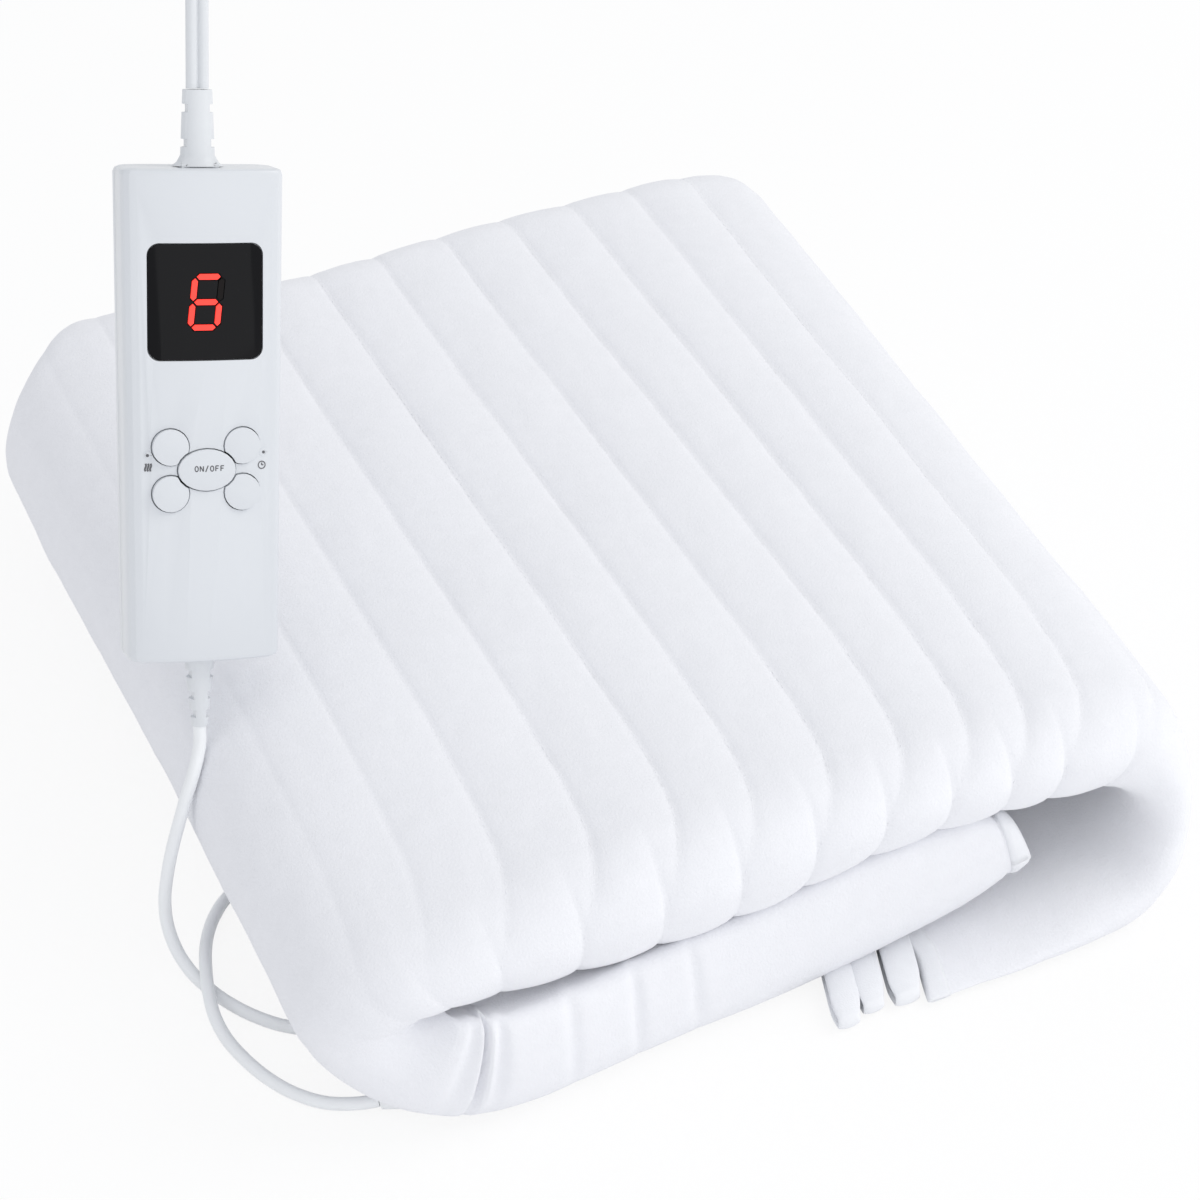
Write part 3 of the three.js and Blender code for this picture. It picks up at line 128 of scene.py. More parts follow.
def controller_place():
    """Turned, leaned and rolled about the foot of the cord relief."""
    turn = Matrix.Rotation(math.radians(CONTROLLER_TURN), 4, "Z")
    lean = Matrix.Rotation(math.radians(CONTROLLER_LEAN), 4, "X")
    roll = Matrix.Rotation(math.radians(CONTROLLER_ROLL), 4, "Y")
    foot = Matrix.Translation(CONTROLLER_AT)
    return foot @ turn @ lean @ roll @ Matrix.Translation((0, 0, CORD_RELIEF_LENGTH))


CONTROLLER = controller_place()


# Camera and light

def add_camera():
    bpy.context.scene.view_settings.view_transform = "Standard"
    a, e = math.radians(CAMERA_AZIMUTH), math.radians(CAMERA_ELEVATION)
    forward = Vector((-math.sin(a) * math.cos(e), math.cos(a) * math.cos(e), -math.sin(e)))
    data = bpy.data.cameras.new("camera")
    data.angle = math.radians(CAMERA_FIELD)
    data.clip_start = CAMERA_CLIP
    camera = bpy.data.objects.new("camera", data)
    camera.location = Vector(CAMERA_TARGET) - CAMERA_DISTANCE * forward
    camera.rotation_euler = forward.to_track_quat("-Z", "Y").to_euler()
    bpy.context.scene.collection.objects.link(camera)
    bpy.context.scene.camera = camera


def add_lamp(name, place, size, power, colour):
    data = bpy.data.lights.new(name, "AREA")
    data.shape = "SQUARE"
    data.size = size
    data.energy = power
    data.color = colour
    light = bpy.data.objects.new(name, data)
    light.location = place
    light.rotation_euler = (Vector(LAMP_TARGET) - Vector(place)).to_track_quat("-Z", "Y").to_euler()
    bpy.context.scene.collection.objects.link(light)


def add_world():
    """Even light on the object, and plain white where the camera looks past it."""
    world = bpy.data.worlds.new("studio")
    bpy.context.scene.world = world
    world.use_nodes = True
    nodes, links = world.node_tree.nodes, world.node_tree.links
    nodes.clear()
    output = nodes.new("ShaderNodeOutputWorld")
    lit, seen = nodes.new("ShaderNodeBackground"), nodes.new("ShaderNodeBackground")
    lit.inputs["Color"].default_value = (*WORLD_COLOUR, 1)
    lit.inputs["Strength"].default_value = WORLD_LEVEL
    seen.inputs["Color"].default_value = WHITE
    seen.inputs["Strength"].default_value = 1
    path, mix = nodes.new("ShaderNodeLightPath"), nodes.new("ShaderNodeMixShader")
    links.new(path.outputs["Is Camera Ray"], mix.inputs[0])
    links.new(lit.outputs[0], mix.inputs[1])
    links.new(seen.outputs[0], mix.inputs[2])
    links.new(mix.outputs[0], output.inputs["Surface"])


def add_floor():
    """A pale floor that mixes white light into what the camera and reflections see, and keeps shadows."""
    mesh = bpy.data.meshes.new("floor")
    reach = FLOOR_REACH
    corners = [(-reach, -reach, 0), (reach, -reach, 0), (reach, reach, 0), (-reach, reach, 0)]
    mesh.from_pydata(corners, [], [(0, 1, 2, 3)])
    floor = bpy.data.objects.new("floor", mesh)
    bpy.context.scene.collection.objects.link(floor)
    material = bpy.data.materials.new("floor_white")
    material.use_nodes = True
    nodes, links = material.node_tree.nodes, material.node_tree.links
    nodes.clear()
    output = nodes.new("ShaderNodeOutputMaterial")
    paint = nodes.new("ShaderNodeBsdfDiffuse")
    paint.inputs["Color"].default_value = (*FLOOR_PAINT, 1)
    light = nodes.new("ShaderNodeEmission")
    light.inputs["Color"].default_value = WHITE
    light.inputs["Strength"].default_value = 1
    path = nodes.new("ShaderNodeLightPath")
    seen, share = nodes.new("ShaderNodeMath"), nodes.new("ShaderNodeMath")
    seen.operation, share.operation = "MAXIMUM", "MULTIPLY"
    share.inputs[1].default_value = FLOOR_GLOW_SHARE
    mix = nodes.new("ShaderNodeMixShader")
    links.new(path.outputs["Is Camera Ray"], seen.inputs[0])
    links.new(path.outputs["Is Glossy Ray"], seen.inputs[1])
    links.new(seen.outputs[0], share.inputs[0])
    links.new(share.outputs[0], mix.inputs[0])
    links.new(paint.outputs[0], mix.inputs[1])
    links.new(light.outputs[0], mix.inputs[2])
    links.new(mix.outputs[0], output.inputs["Surface"])
    mesh.materials.append(material)


# Materials

# Each material's settings, which surface() explains
MATERIALS = {
    "fleece": dict(colour=(0.87, 0.875, 0.91), shade=0.95, roughness=0.95, grain=0.0009, bump=0.55,
                   bump_depth=0.0004, sheen=0.25, patch=0.006),
    "tape": dict(colour=(0.86, 0.87, 0.9), shade=0.94, roughness=0.85, grain=0.0006, bump=0.5,
                 bump_depth=0.0002, sheen=0.15, patch=0.003),
    "thread": dict(colour=(0.86, 0.865, 0.9), roughness=0.8, grain=0.0004, bump=0.6),
    "cord": dict(colour=(0.89, 0.905, 0.92), roughness=0.42, grain=0.0008, bump=0.08, patch=0.02),
    "lead": dict(colour=(0.735, 0.755, 0.78), roughness=0.42, grain=0.0008, bump=0.08, patch=0.02),
    "shell": dict(colour=(0.705, 0.728, 0.76), shade=0.985, roughness=0.34, grain=0.0005, bump=0.05,
                  bump_depth=0.00002, patch=0.03, coat=0.15),
    "key": dict(colour=(0.70, 0.723, 0.755), shade=0.985, roughness=0.38, grain=0.0005, bump=0.05,
                bump_depth=0.00002, patch=0.02, coat=0.1),
    "window": dict(colour=(0.006, 0.006, 0.007), roughness=0.12, spread=0.02, grain=0.004, gloss=0.12),
    "lit_bar": dict(colour=(0.6, 0.03, 0.02), roughness=0.4, glow=(1.0, 0.035, 0.02)),
    "unlit_bar": dict(colour=(0.008, 0.006, 0.006), roughness=0.3, gloss=0.1),
    "lamp": dict(colour=(0.62, 0.64, 0.67), roughness=0.25, coat=0.4),
    "print": dict(colour=(0.12, 0.12, 0.13), roughness=0.6),
    "grey_plastic": dict(colour=(0.28, 0.29, 0.31), roughness=0.5, bump=0.1),
    "black_plastic": dict(colour=(0.02, 0.02, 0.022), roughness=0.45, bump=0.1),
    "board": dict(colour=(0.02, 0.14, 0.05), shade=0.8, roughness=0.35, patch=0.004),
    "relay": dict(colour=(0.03, 0.09, 0.35), roughness=0.4, bump=0.05),
    "heating_wire": dict(colour=(0.45, 0.10, 0.04), roughness=0.5, bump=0.1),
    "steel": dict(colour=(0.62, 0.63, 0.65), shade=0.93, roughness=0.24, metal=1.0, grain=0.0008,
                  bump=0.05),
}

COAT_ROUGHNESS = 0.06
SHEEN_ROUGHNESS = 0.6
PATCH_DETAIL = 4
GRAIN_DETAIL = 3


def surface(name, colour, shade=0.97, roughness=0.5, spread=0.05, grain=0.002, bump=0.0, bump_depth=0.0001,
            metal=0.0, coat=0.0, sheen=0.0, gloss=0.5, glow=None, patch=None):
    """A surface whose colour varies down to a shade of itself and whose roughness varies by spread to
    either side, in patches of the given size, or in its grain where none is given. bump is how strongly
    its grain stands out, and bump_depth how far. Sizes are in metres."""
    material = bpy.data.materials.new(name)
    material.use_nodes = True
    nodes, links = material.node_tree.nodes, material.node_tree.links
    shader = nodes["Principled BSDF"]
    shader.inputs["Metallic"].default_value = metal
    shader.inputs["Coat Weight"].default_value = coat
    shader.inputs["Coat Roughness"].default_value = COAT_ROUGHNESS
    shader.inputs["Sheen Weight"].default_value = sheen
    shader.inputs["Sheen Roughness"].default_value = SHEEN_ROUGHNESS
    shader.inputs["Specular IOR Level"].default_value = gloss
    place = nodes.new("ShaderNodeTexCoord")
    patches = nodes.new("ShaderNodeTexNoise")
    patches.inputs["Scale"].default_value = 1 / (patch or grain)
    patches.inputs["Detail"].default_value = PATCH_DETAIL
    links.new(place.outputs["Object"], patches.inputs["Vector"])
    mix = nodes.new("ShaderNodeMix")
    mix.data_type = "RGBA"
    mix.inputs["A"].default_value = (*[c * shade for c in colour], 1)
    mix.inputs["B"].default_value = (*colour, 1)
    links.new(patches.outputs["Fac"], mix.inputs["Factor"])
    links.new(mix.outputs["Result"], shader.inputs["Base Color"])
    rough = nodes.new("ShaderNodeMapRange")
    rough.inputs["To Min"].default_value = roughness - spread
    rough.inputs["To Max"].default_value = roughness + spread
    links.new(patches.outputs["Fac"], rough.inputs["Value"])
    links.new(rough.outputs["Result"], shader.inputs["Roughness"])
    if bump:
        fine = nodes.new("ShaderNodeTexNoise")
        fine.inputs["Scale"].default_value = 1 / grain
        fine.inputs["Detail"].default_value = GRAIN_DETAIL
        links.new(place.outputs["Object"], fine.inputs["Vector"])
        relief = nodes.new("ShaderNodeBump")
        relief.inputs["Strength"].default_value = bump
        relief.inputs["Distance"].default_value = bump_depth
        links.new(fine.outputs["Fac"], relief.inputs["Height"])
        links.new(relief.outputs["Normal"], shader.inputs["Normal"])
    if glow:
        shader.inputs["Emission Color"].default_value = (*glow, 1)
        shader.inputs["Emission Strength"].default_value = 1
    return material


# Curves and meshes

def spline_points(points, spans):
    """Centripetal Catmull-Rom curve through the points, at parameters counted in spans."""
    p = np.array(points, float)
    p = np.vstack([2 * p[0] - p[1], p, 2 * p[-1] - p[-2]])
    result = []
    for u in spans:
        i = min(int(u), len(p) - 4)
        w = u - i
        q = p[i:i + 4]
        d0, d1, d2 = (math.sqrt(np.linalg.norm(q[k + 1] - q[k])) for k in range(3))
        t1 = ((q[1] - q[0]) / d0 - (q[2] - q[0]) / (d0 + d1) + (q[2] - q[1]) / d1) * d1
        t2 = ((q[2] - q[1]) / d1 - (q[3] - q[1]) / (d1 + d2) + (q[3] - q[2]) / d2) * d1
        c2 = -3 * q[1] + 3 * q[2] - 2 * t1 - t2
        c3 = 2 * q[1] - 2 * q[2] + t1 + t2
        result.append(q[1] + w * (t1 + w * (c2 + w * c3)))
    return np.array(result)


def smoothstep(x, low, high):
    w = np.clip((x - low) / (high - low), 0, 1)
    return w * w * (3 - 2 * w)


def new_piece(name, vertices, faces, material, sharp_angle=None):
    mesh = bpy.data.meshes.new(name)
    mesh.from_pydata([tuple(v) for v in vertices], [], faces)
    mesh.materials.append(material)
    mesh.validate()
    bm = bmesh.new()
    bm.from_mesh(mesh)
    bmesh.ops.recalc_face_normals(bm, faces=bm.faces)
    bm.to_mesh(mesh)
    bm.free()
    mesh.shade_smooth()
    if sharp_angle:
        mesh.set_sharp_from_angle(angle=math.radians(sharp_angle))
    piece = bpy.data.objects.new(name, mesh)
    bpy.context.scene.collection.objects.link(piece)
    return piece


def swept(rings):
    """Vertices and faces of a closed tube through rings of equally many points."""
    around = len(rings[0])
    vertices = [p for ring in rings for p in ring]
    faces = []
    for r in range(len(rings) - 1):
        for i in range(around):
            a, b = r * around + i, r * around + (i + 1) % around
            faces.append((a, b, b + around, a + around))
    last = (len(rings) - 1) * around
    faces.append(tuple(reversed(range(around))))
    faces.append(tuple(last + i for i in range(around)))
    return vertices, faces


def add_tube(vertices, faces, rings):
    """Adds a tube through the rings to a mesh's lists."""
    base = len(vertices)
    tube_vertices, tube_faces = swept(rings)
    vertices += tube_vertices
    faces += [tuple(base + k for k in face) for face in tube_faces]


# Folded pad: its section runs from the middle flap's free end round both folds to the under flap's.
# Places on it are counted in spans, the stretches between control points: 0 is the first point, 10 the
# eleventh.

# Control points of the outer face: shares of the width, of the height, and of the length by which the
# front edge stands back there
OUTER_SHARES = [
    (0.798, 0.305, 0.049), (0.74, 0.165, 0.049), (0.66, 0.082, 0.049), (0.58, 0.03, 0.049),
    (0.51, 0.004, 0.048), (0.38, 0, 0.042), (0.23, 0, 0.029), (0.144, 0.05, 0.028),
    (0.075, 0.163, 0.038), (0.022, 0.326, 0.056), (0, 0.52, 0.062), (0.022, 0.74, 0.058),
    (0.075, 0.88, 0.052), (0.156, 0.94, 0.05), (0.25, 0.953, 0.05), (0.34, 0.957, 0.05),
    (0.431, 0.965, 0.05), (0.52, 0.974, 0.05), (0.606, 0.985, 0.05), (0.69, 0.995, 0.048),
    (0.778, 1, 0.045), (0.885, 0.99, 0.04), (0.95, 0.915, 0.035), (0.984, 0.715, 0.028),
    (0.99, 0.48, 0.02), (0.974, 0.225, 0.01), (0.935, 0.06, 0.004), (0.88, 0, 0),
    (0.77, 0, 0), (0.71, 0.002, 0.002), (0.646, 0.01, 0.003),
]

# The inner face opposite each of them: shares of the width and of the height
INNER_SHARES = [
    (0.777, 0.545), (0.73, 0.592), (0.64, 0.578), (0.56, 0.532),
    (0.49, 0.486), (0.37, 0.466), (0.23, 0.496), (0.169, 0.532),
    (0.137, 0.55), (0.124, 0.565), (0.118, 0.58), (0.124, 0.592),
    (0.142, 0.595), (0.172, 0.573), (0.25, 0.508), (0.334, 0.468),
    (0.43, 0.464), (0.506, 0.496), (0.58, 0.555), (0.67, 0.602),
    (0.77, 0.606), (0.844, 0.604), (0.884, 0.588), (0.907, 0.53),
    (0.914, 0.446), (0.904, 0.35), (0.885, 0.275), (0.844, 0.215),
    (0.76, 0.118), (0.705, 0.085), (0.646, 0.06),
]

# How the fold's block departs from a box: its right side flares at the back, its back edge bows, and it
# is lower in front and lowest at the front left corner
RIGHT_SIDE_SHARES = (0.62, 1)
REAR_REACH_SHARES = (0.018, -0.012, 0.35)
REAR_CORNER_SHARES = (0.063, 0.14)
HEIGHT_SHARES = (0.9, 1.08)
LEFT_CORNER_DROP_SHARE = 0.13
LEFT_CORNER_REACH_SHARE = 0.42
FLARE_POWER = 0.75

# How strongly the quilting shows along the fold, by span
QUILT_SHARES = [
    (0, 0.3), (3, 0.36), (7, 0.3), (10, 0.22), (12.3, 0.3), (13.6, 0.75), (14.6, 1), (20.6, 1), (21.6, 0.8),
    (22.6, 0.25), (24, 0.12), (30, 0.1),
]

# The mesh's columns along the fold and rows from front to back
COLUMN_STEP = 0.0012
ROLL_ROWS = 13
FLAT_ROWS = 84
MEASURE_STEPS = 3000
LEAST_LENGTH = 1e-12

# How deep the inner face rolls in at the front and the back, by span
INNER_ROLLS = [(0, 0.005), (9, 0.005), (11, 0.015), (21, 0.015), (23.5, 0.024), (26, 0.040), (30, 0.040)]
INNER_LIFT_SHARE = 0.3

# The middle flap puffs up just behind its front edge, where its seams fade; the top starts between the
# two spans
TOP_SPANS = (9, 11)
FLAP_PUFF = 0.0042
FLAP_PUFF_AT = 0.0075
FLAP_PUFF_SPREAD = 0.006
FLAP_SEAM_START = (0.008, 0.030)

# Seams: a pillow between each two, and a narrow valley on each
PILLOW_SHARE = 0.68
PILLOW_POWER = 1.9
SEAM_SPREAD = 0.0011

# The seams draw the back edge in a little, and fade towards it
REAR_SCALLOP_SHARE = 0.1
REAR_CALM = 0.035
REAR_CALM_SHARE = 0.55

# The two free ends are round and even; the middle flap's shows the seam of its hem
NOSE_REACH = 0.0075
NOSE_END_SHARE = 0.74
HEM_SEAM = 0.0098
HEM_SEAM_SPREAD = 0.0013
HEM_SEAM_DEPTH = 0.0014
CALM_REACH = 0.03

# Unevenness: height, size along the fold, size from front to back, and the noise's seed
WANDER_WAVES = (0.0005, 0.05, 0.045, 1.7)
BROAD_WAVES = (0.0012, 0.06, 0.085, 3.1)
DIMPLE_WAVES = (0.00042, 0.014, 0.019, 7.7)
FINE_WAVES = (0.00016, 0.005, 0.006, 5.3)
PUCKER_WAVES = (0.0004, 0.012, 0.0042, 11.3)

# Seams across the top, in channel pitches from the datum; beyond them the pitch is even
TOP_SEAMS = [-4.33, -3.24, -2.08, -0.95, 0.09, 1.2, 2.22, 3.1, 3.88, 4.68]
EVEN_SEAMS = 34

# On the front roll the top's seams run to the left, fully between the middle two spans
FRONT_SEAM_SHIFT = 0.018
FRONT_SEAM_RUN = 0.020
SHIFTED_SPANS = [(10.2, 0), (12.4, 1), (21, 1), (23.5, 0)]

# Creases in the left half of the middle flap's front: X, depth, half width, lean
CREASES = [
    (-0.1132, 0.0068, 0.0015, -0.03), (-0.1230, 0.0020, 0.0042, 0.10), (-0.1055, 0.0022, 0.0028, -0.08),
    (-0.0755, 0.0013, 0.0026, 0.14), (-0.0505, 0.0017, 0.0022, 0.14), (-0.0275, 0.0014, 0.0024, 0.12),
]
CREASE_START_SPANS = (1.7, 2.2)
CREASE_STOP_SPANS = (7.6, 8.4)
CREASE_REACH = 0.02
CREASE_LEAN_REACH = 0.012

# The under flap's end leans to the left at the front
UNDER_END_LEAN = 0.33
UNDER_END_LEAN_RUN = 0.02
UNDER_END_SPANS = (28.4, 30)


class Fold:
    """The pad's section, sampled evenly along its outer face."""

    def __init__(self):
        def place(across, up, setback=0):
            return PAD_LEFT + across * PAD_WIDTH, setback * PAD_LENGTH, up * PAD_HEIGHT

        outer = [place(*shares) for shares in OUTER_SHARES]
        inner = [place(*shares) for shares in INNER_SHARES]
        spans = np.linspace(0, len(outer) - 1, MEASURE_STEPS)
        fine = spline_points(outer, spans)
        steps = np.linalg.norm(np.diff(fine[:, [0, 2]], axis=0), axis=1)
        along = np.concatenate([[0], np.cumsum(steps)])
        self.length = along[-1]
        self.s = np.linspace(0, self.length, int(self.length / COLUMN_STEP) + 1)
        self.spans = np.interp(self.s, along, spans)
        self.outer = spline_points(outer, self.spans)
        self.inner = spline_points(inner, self.spans)
        self.outer[:, 2] = np.maximum(self.outer[:, 2], 0)
        top = np.argmax((fine[:, 2] > PAD_HEIGHT / 2) & (fine[:, 0] >= CHANNEL_DATUM))
        self.datum = along[top]
        self.setback = self.outer[:, 1].copy()
        self.outer[:, 1] = 0
        self.inner[:, 1] = 0
        across = (self.outer[:, 0] - PAD_LEFT) / PAD_WIDTH
        low, high, width = REAR_REACH_SHARES
        corner = 1 - smoothstep(across, 0, REAR_CORNER_SHARES[1])
        self.reach = low + (high - low) * smoothstep(across, 0, width) - REAR_CORNER_SHARES[0] * corner
        rise = smoothstep(self.outer[:, 2], 0, PAD_HEIGHT / 2)
        self.roll = FLOOR_END_ROLL + (END_ROLL - FLOOR_END_ROLL) * rise
        self.normal = self.outer - self.inner
        self.normal /= np.linalg.norm(self.normal, axis=1)[:, None]
        self.quilting = np.interp(self.spans, *zip(*QUILT_SHARES))
        ahead = [TOP_SEAMS[-1] + k for k in range(1, EVEN_SEAMS)]
        before = [TOP_SEAMS[0] - k for k in range(EVEN_SEAMS, 0, -1)]
        self.seam_places = self.datum + CHANNEL_PITCH * np.array(before + TOP_SEAMS + ahead)
        self.shifted = np.interp(self.spans, *zip(*SHIFTED_SPANS))
        self.end_distance = np.minimum(self.s, self.length - self.s)
        self.calm = smoothstep(self.end_distance, HEM_SEAM, CALM_REACH)

    def seam_depth(self, s):
        """How far the quilted face stands in, as a share of the seams' depth."""
        after = np.searchsorted(self.seam_places, s)
        low, high = self.seam_places[after - 1], self.seam_places[after]
        half = (high - low) / 2
        off = np.minimum(s - low, high - s)
        valley = np.exp(-(off / SEAM_SPREAD))
        pillow = (1 - off / half) ** PILLOW_POWER
        return (1 - PILLOW_SHARE) * valley + PILLOW_SHARE * pillow

    def seams(self, least):
        """Where along the fold the seams lie whose quilting is at least this strong."""
        inside = [s for s in self.seam_places if 0 < s < self.length]
        return [s for s in inside if np.interp(s, self.s, self.quilting) >= least]

    def seam_shift(self, s, from_front):
        """How far towards smaller s the seams lie, near the front edge."""
        return np.interp(s, self.s, self.shifted) * FRONT_SEAM_SHIFT * np.exp(-from_front / FRONT_SEAM_RUN)


def settled(p):
    """The pad is lower at its front left corner, higher at the back, and wider at the back right."""
    back = np.clip((p[..., 1] - PAD_FRONT) / PAD_LENGTH, 0, 1)
    across = (p[..., 0] - PAD_LEFT) / PAD_WIDTH
    reach = LEFT_CORNER_REACH_SHARE
    corner = (1 - smoothstep(across, 0, reach)) * (1 - smoothstep(back, 0, reach))
    rise = HEIGHT_SHARES[0] + (HEIGHT_SHARES[1] - HEIGHT_SHARES[0]) * back - LEFT_CORNER_DROP_SHARE * corner
    result = p.copy()
    result[..., 0] += REAR_FLARE * smoothstep(across, *RIGHT_SIDE_SHARES) * back ** FLARE_POWER
    result[..., 2] *= rise
    return result


fold = Fold()


def cloud(u, v, seed):
    """Smooth noise of about -1 to 1 over two coordinates, both arrays of one shape."""
    flat = [noise.noise(Vector((a, b, seed))) for a, b in zip(u.ravel(), v.ravel())]
    return np.array(flat).reshape(u.shape)


def waves(s, y, kind):
    """Uneven heights at places s along the fold and y from front to back."""
    height, along, across, seed = kind
    return height * cloud(s / along, y / across, seed)


def crease_notch(y, front, full):
    """How far the creases fold the flap's front in, and pull the face with it."""
    start = smoothstep(fold.spans, *CREASE_START_SPANS)
    stop = 1 - smoothstep(fold.spans, *CREASE_STOP_SPANS)
    notch = np.zeros_like(y)
    for x, depth, width, lean in CREASES:
        near = np.exp(-((fold.outer[:, 0:1] - x - lean * CREASE_LEAN_REACH * full) / width) ** 2)
        notch += (depth * (start * stop))[:, None] * near * np.exp(-((y - front) / CREASE_REACH) ** 2)
    return notch


def pad_grids():
    """Points of the pad's outer and inner face, [column, row]. A row is a turn through a rolled end or a
    share along the flat between."""
    turns = np.linspace(0, math.pi / 2, ROLL_ROWS)
    flats = np.linspace(0, 1, FLAT_ROWS + 2)[1:-1]
    rows = 2 * ROLL_ROWS + FLAT_ROWS
    s = np.repeat(fold.s[:, None], rows, axis=1)
    middle = (fold.outer + fold.inner) / 2

    # front and back edge of each column, which the seams draw in
    on_top = smoothstep(fold.spans, *TOP_SPANS)
    front_depth = fold.seam_depth(fold.s + fold.seam_shift(fold.s, 0))
    front = PAD_FRONT + fold.setback + SEAM_DEPTH * fold.quilting * front_depth * on_top
    scallop = REAR_SCALLOP_SHARE * SEAM_DEPTH * fold.quilting * fold.seam_depth(fold.s)
    back = PAD_FRONT + PAD_LENGTH * (1 + fold.reach) - scallop
    front, back, roll = front[:, None], back[:, None], fold.roll[:, None]
    quilting, on_top, calm = fold.quilting[:, None], on_top[:, None], fold.calm[:, None]

    # rows, and how far each face has reached its full distance from the middle
    inset = roll * (1 - np.cos(turns))
    thick = np.sin(turns)
    y_flat = (front + roll) + (back - front - 2 * roll) * flats
    y = np.hstack([front + inset, y_flat, (back - inset)[:, ::-1]])
    full = np.concatenate([thick, np.ones(len(flats)), thick[::-1]])[None, :]
    from_front = y - front
    from_edge = np.minimum(from_front, back - y)
    inner_roll = np.interp(fold.spans, *zip(*INNER_ROLLS))[:, None]
    inner_full = np.sqrt(1 - (1 - np.clip(from_edge / inner_roll, 0, 1)) ** 2)

    # the free ends: round, and the middle flap's with its hem's seam
    nose = np.sqrt(1 - (1 - np.clip(fold.end_distance / NOSE_REACH, 0, 1)) ** 2)
    nose = (NOSE_END_SHARE + (1 - NOSE_END_SHARE) * nose)[:, None]
    hem_seam = HEM_SEAM_DEPTH * np.exp(-((fold.s - HEM_SEAM) / HEM_SEAM_SPREAD) ** 2)[:, None]

    # quilting and unevenness
    seam = fold.seam_depth(s + waves(s, y, WANDER_WAVES) + fold.seam_shift(s, from_front))
    rear_calm = 1 - REAR_CALM_SHARE * (1 - smoothstep(back - y, 0, REAR_CALM))
    sewn = on_top + (1 - on_top) * smoothstep(from_front, *FLAP_SEAM_START)
    quilting = quilting * rear_calm * sewn
    puff = FLAP_PUFF * (1 - on_top) * np.exp(-((from_front - FLAP_PUFF_AT) / FLAP_PUFF_SPREAD) ** 2)
    puckers = seam ** 2 * quilting * waves(s, y, PUCKER_WAVES)
    uneven = waves(s, y, BROAD_WAVES) + waves(s, y, DIMPLE_WAVES) + waves(s, y, FINE_WAVES)
    lift = (uneven + puckers) * calm
    sunk = SEAM_DEPTH * quilting * seam * calm + hem_seam
    notch = crease_notch(y, front, full)
    under_end = UNDER_END_LEAN * smoothstep(fold.spans, *UNDER_END_SPANS)[:, None]

    def face(points, share, inward, y):
        """The face through a section's points, at a share of its distance from the middle."""
        p = middle[:, None, :] + (points - middle)[:, None, :] * (share * nose)[..., None]
        p = p - fold.normal[:, None, :] * (inward * share)[..., None]
        p[..., 1] = y
        p[..., 0] += under_end * np.minimum(y - PAD_FRONT, UNDER_END_LEAN_RUN)
        p[..., 2] = np.maximum(p[..., 2], 0)
        return settled(p)

    outer = face(fold.outer, full * np.ones_like(y), sunk - lift, y + notch * (1 - full))
    inner = face(fold.inner, inner_full, puff - hem_seam - INNER_LIFT_SHARE * lift, y + notch)
    return outer, inner


def grid_normals(grid, outward):
    """Unit normals of a grid of points, on the side that outward points to, one direction per column."""
    normal = np.cross(np.gradient(grid, axis=0), np.gradient(grid, axis=1))
    normal /= np.maximum(np.linalg.norm(normal, axis=2), LEAST_LENGTH)[..., None]
    flip = np.sign(np.median((normal * outward[:, None, :]).sum(axis=2), axis=1))
    normal *= flip[:, None, None]
    normal[:, 0] = (0, -1, 0)
    normal[:, -1] = (0, 1, 0)
    return normal


def add_pad(material):
    outer, inner = pad_grids()
    columns, rows = outer.shape[:2]
    vertices = np.concatenate([outer.reshape(-1, 3), inner[:, 1:-1].reshape(-1, 3)])
    inner_start = columns * rows

    def up(i, j):
        return i * rows + j

    def down(i, j):
        return up(i, j) if j in (0, rows - 1) else inner_start + i * (rows - 2) + j - 1

    faces = []
    for i in range(columns - 1):
        for j in range(rows - 1):
            faces.append((up(i, j), up(i + 1, j), up(i + 1, j + 1), up(i, j + 1)))
            faces.append((down(i, j), down(i, j + 1), down(i + 1, j + 1), down(i + 1, j)))
    for i in (0, columns - 1):
        for j in range(rows - 1):
            faces.append(tuple(dict.fromkeys([up(i, j), up(i, j + 1), down(i, j + 1), down(i, j)])))
    pad = new_piece("folded_pad", vertices, [f for f in faces if len(f) > 2], material)
    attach(pad, BODY)
    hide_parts("fleece_cover", "backing_sheet")
    return outer, inner


# Hem tapes: how high the middle flap's and the under flap's stand over the pad
HEM_WIDTH = 0.0088
HEM_LIFTS = (0.0012, 0.0006)
HEM_EDGE_LIFT = 0.0003
HEM_EDGE_SHARE = 0.25
HEM_TURN_SHARE = 0.72
HEM_SINK = 0.0002

# Stitches: a thread is a thin lens, given by places along it and its width there
STITCH_LENGTH = 0.0022
STITCH_WIDTH = 0.00045
STITCH_PITCH = 0.0036
STITCH_SINK = 0.00014
STITCH_AHEAD = 0.001
STITCH_SIDES = 5
STITCH_PROFILE_SHARES = ((-0.5, 0.15), (-0.3, 0.85), (0, 1), (0.3, 0.85), (0.5, 0.15))
STITCHED_SHARES = (0.01, 0.99)
STITCHED_QUILT_SHARE = 0.7


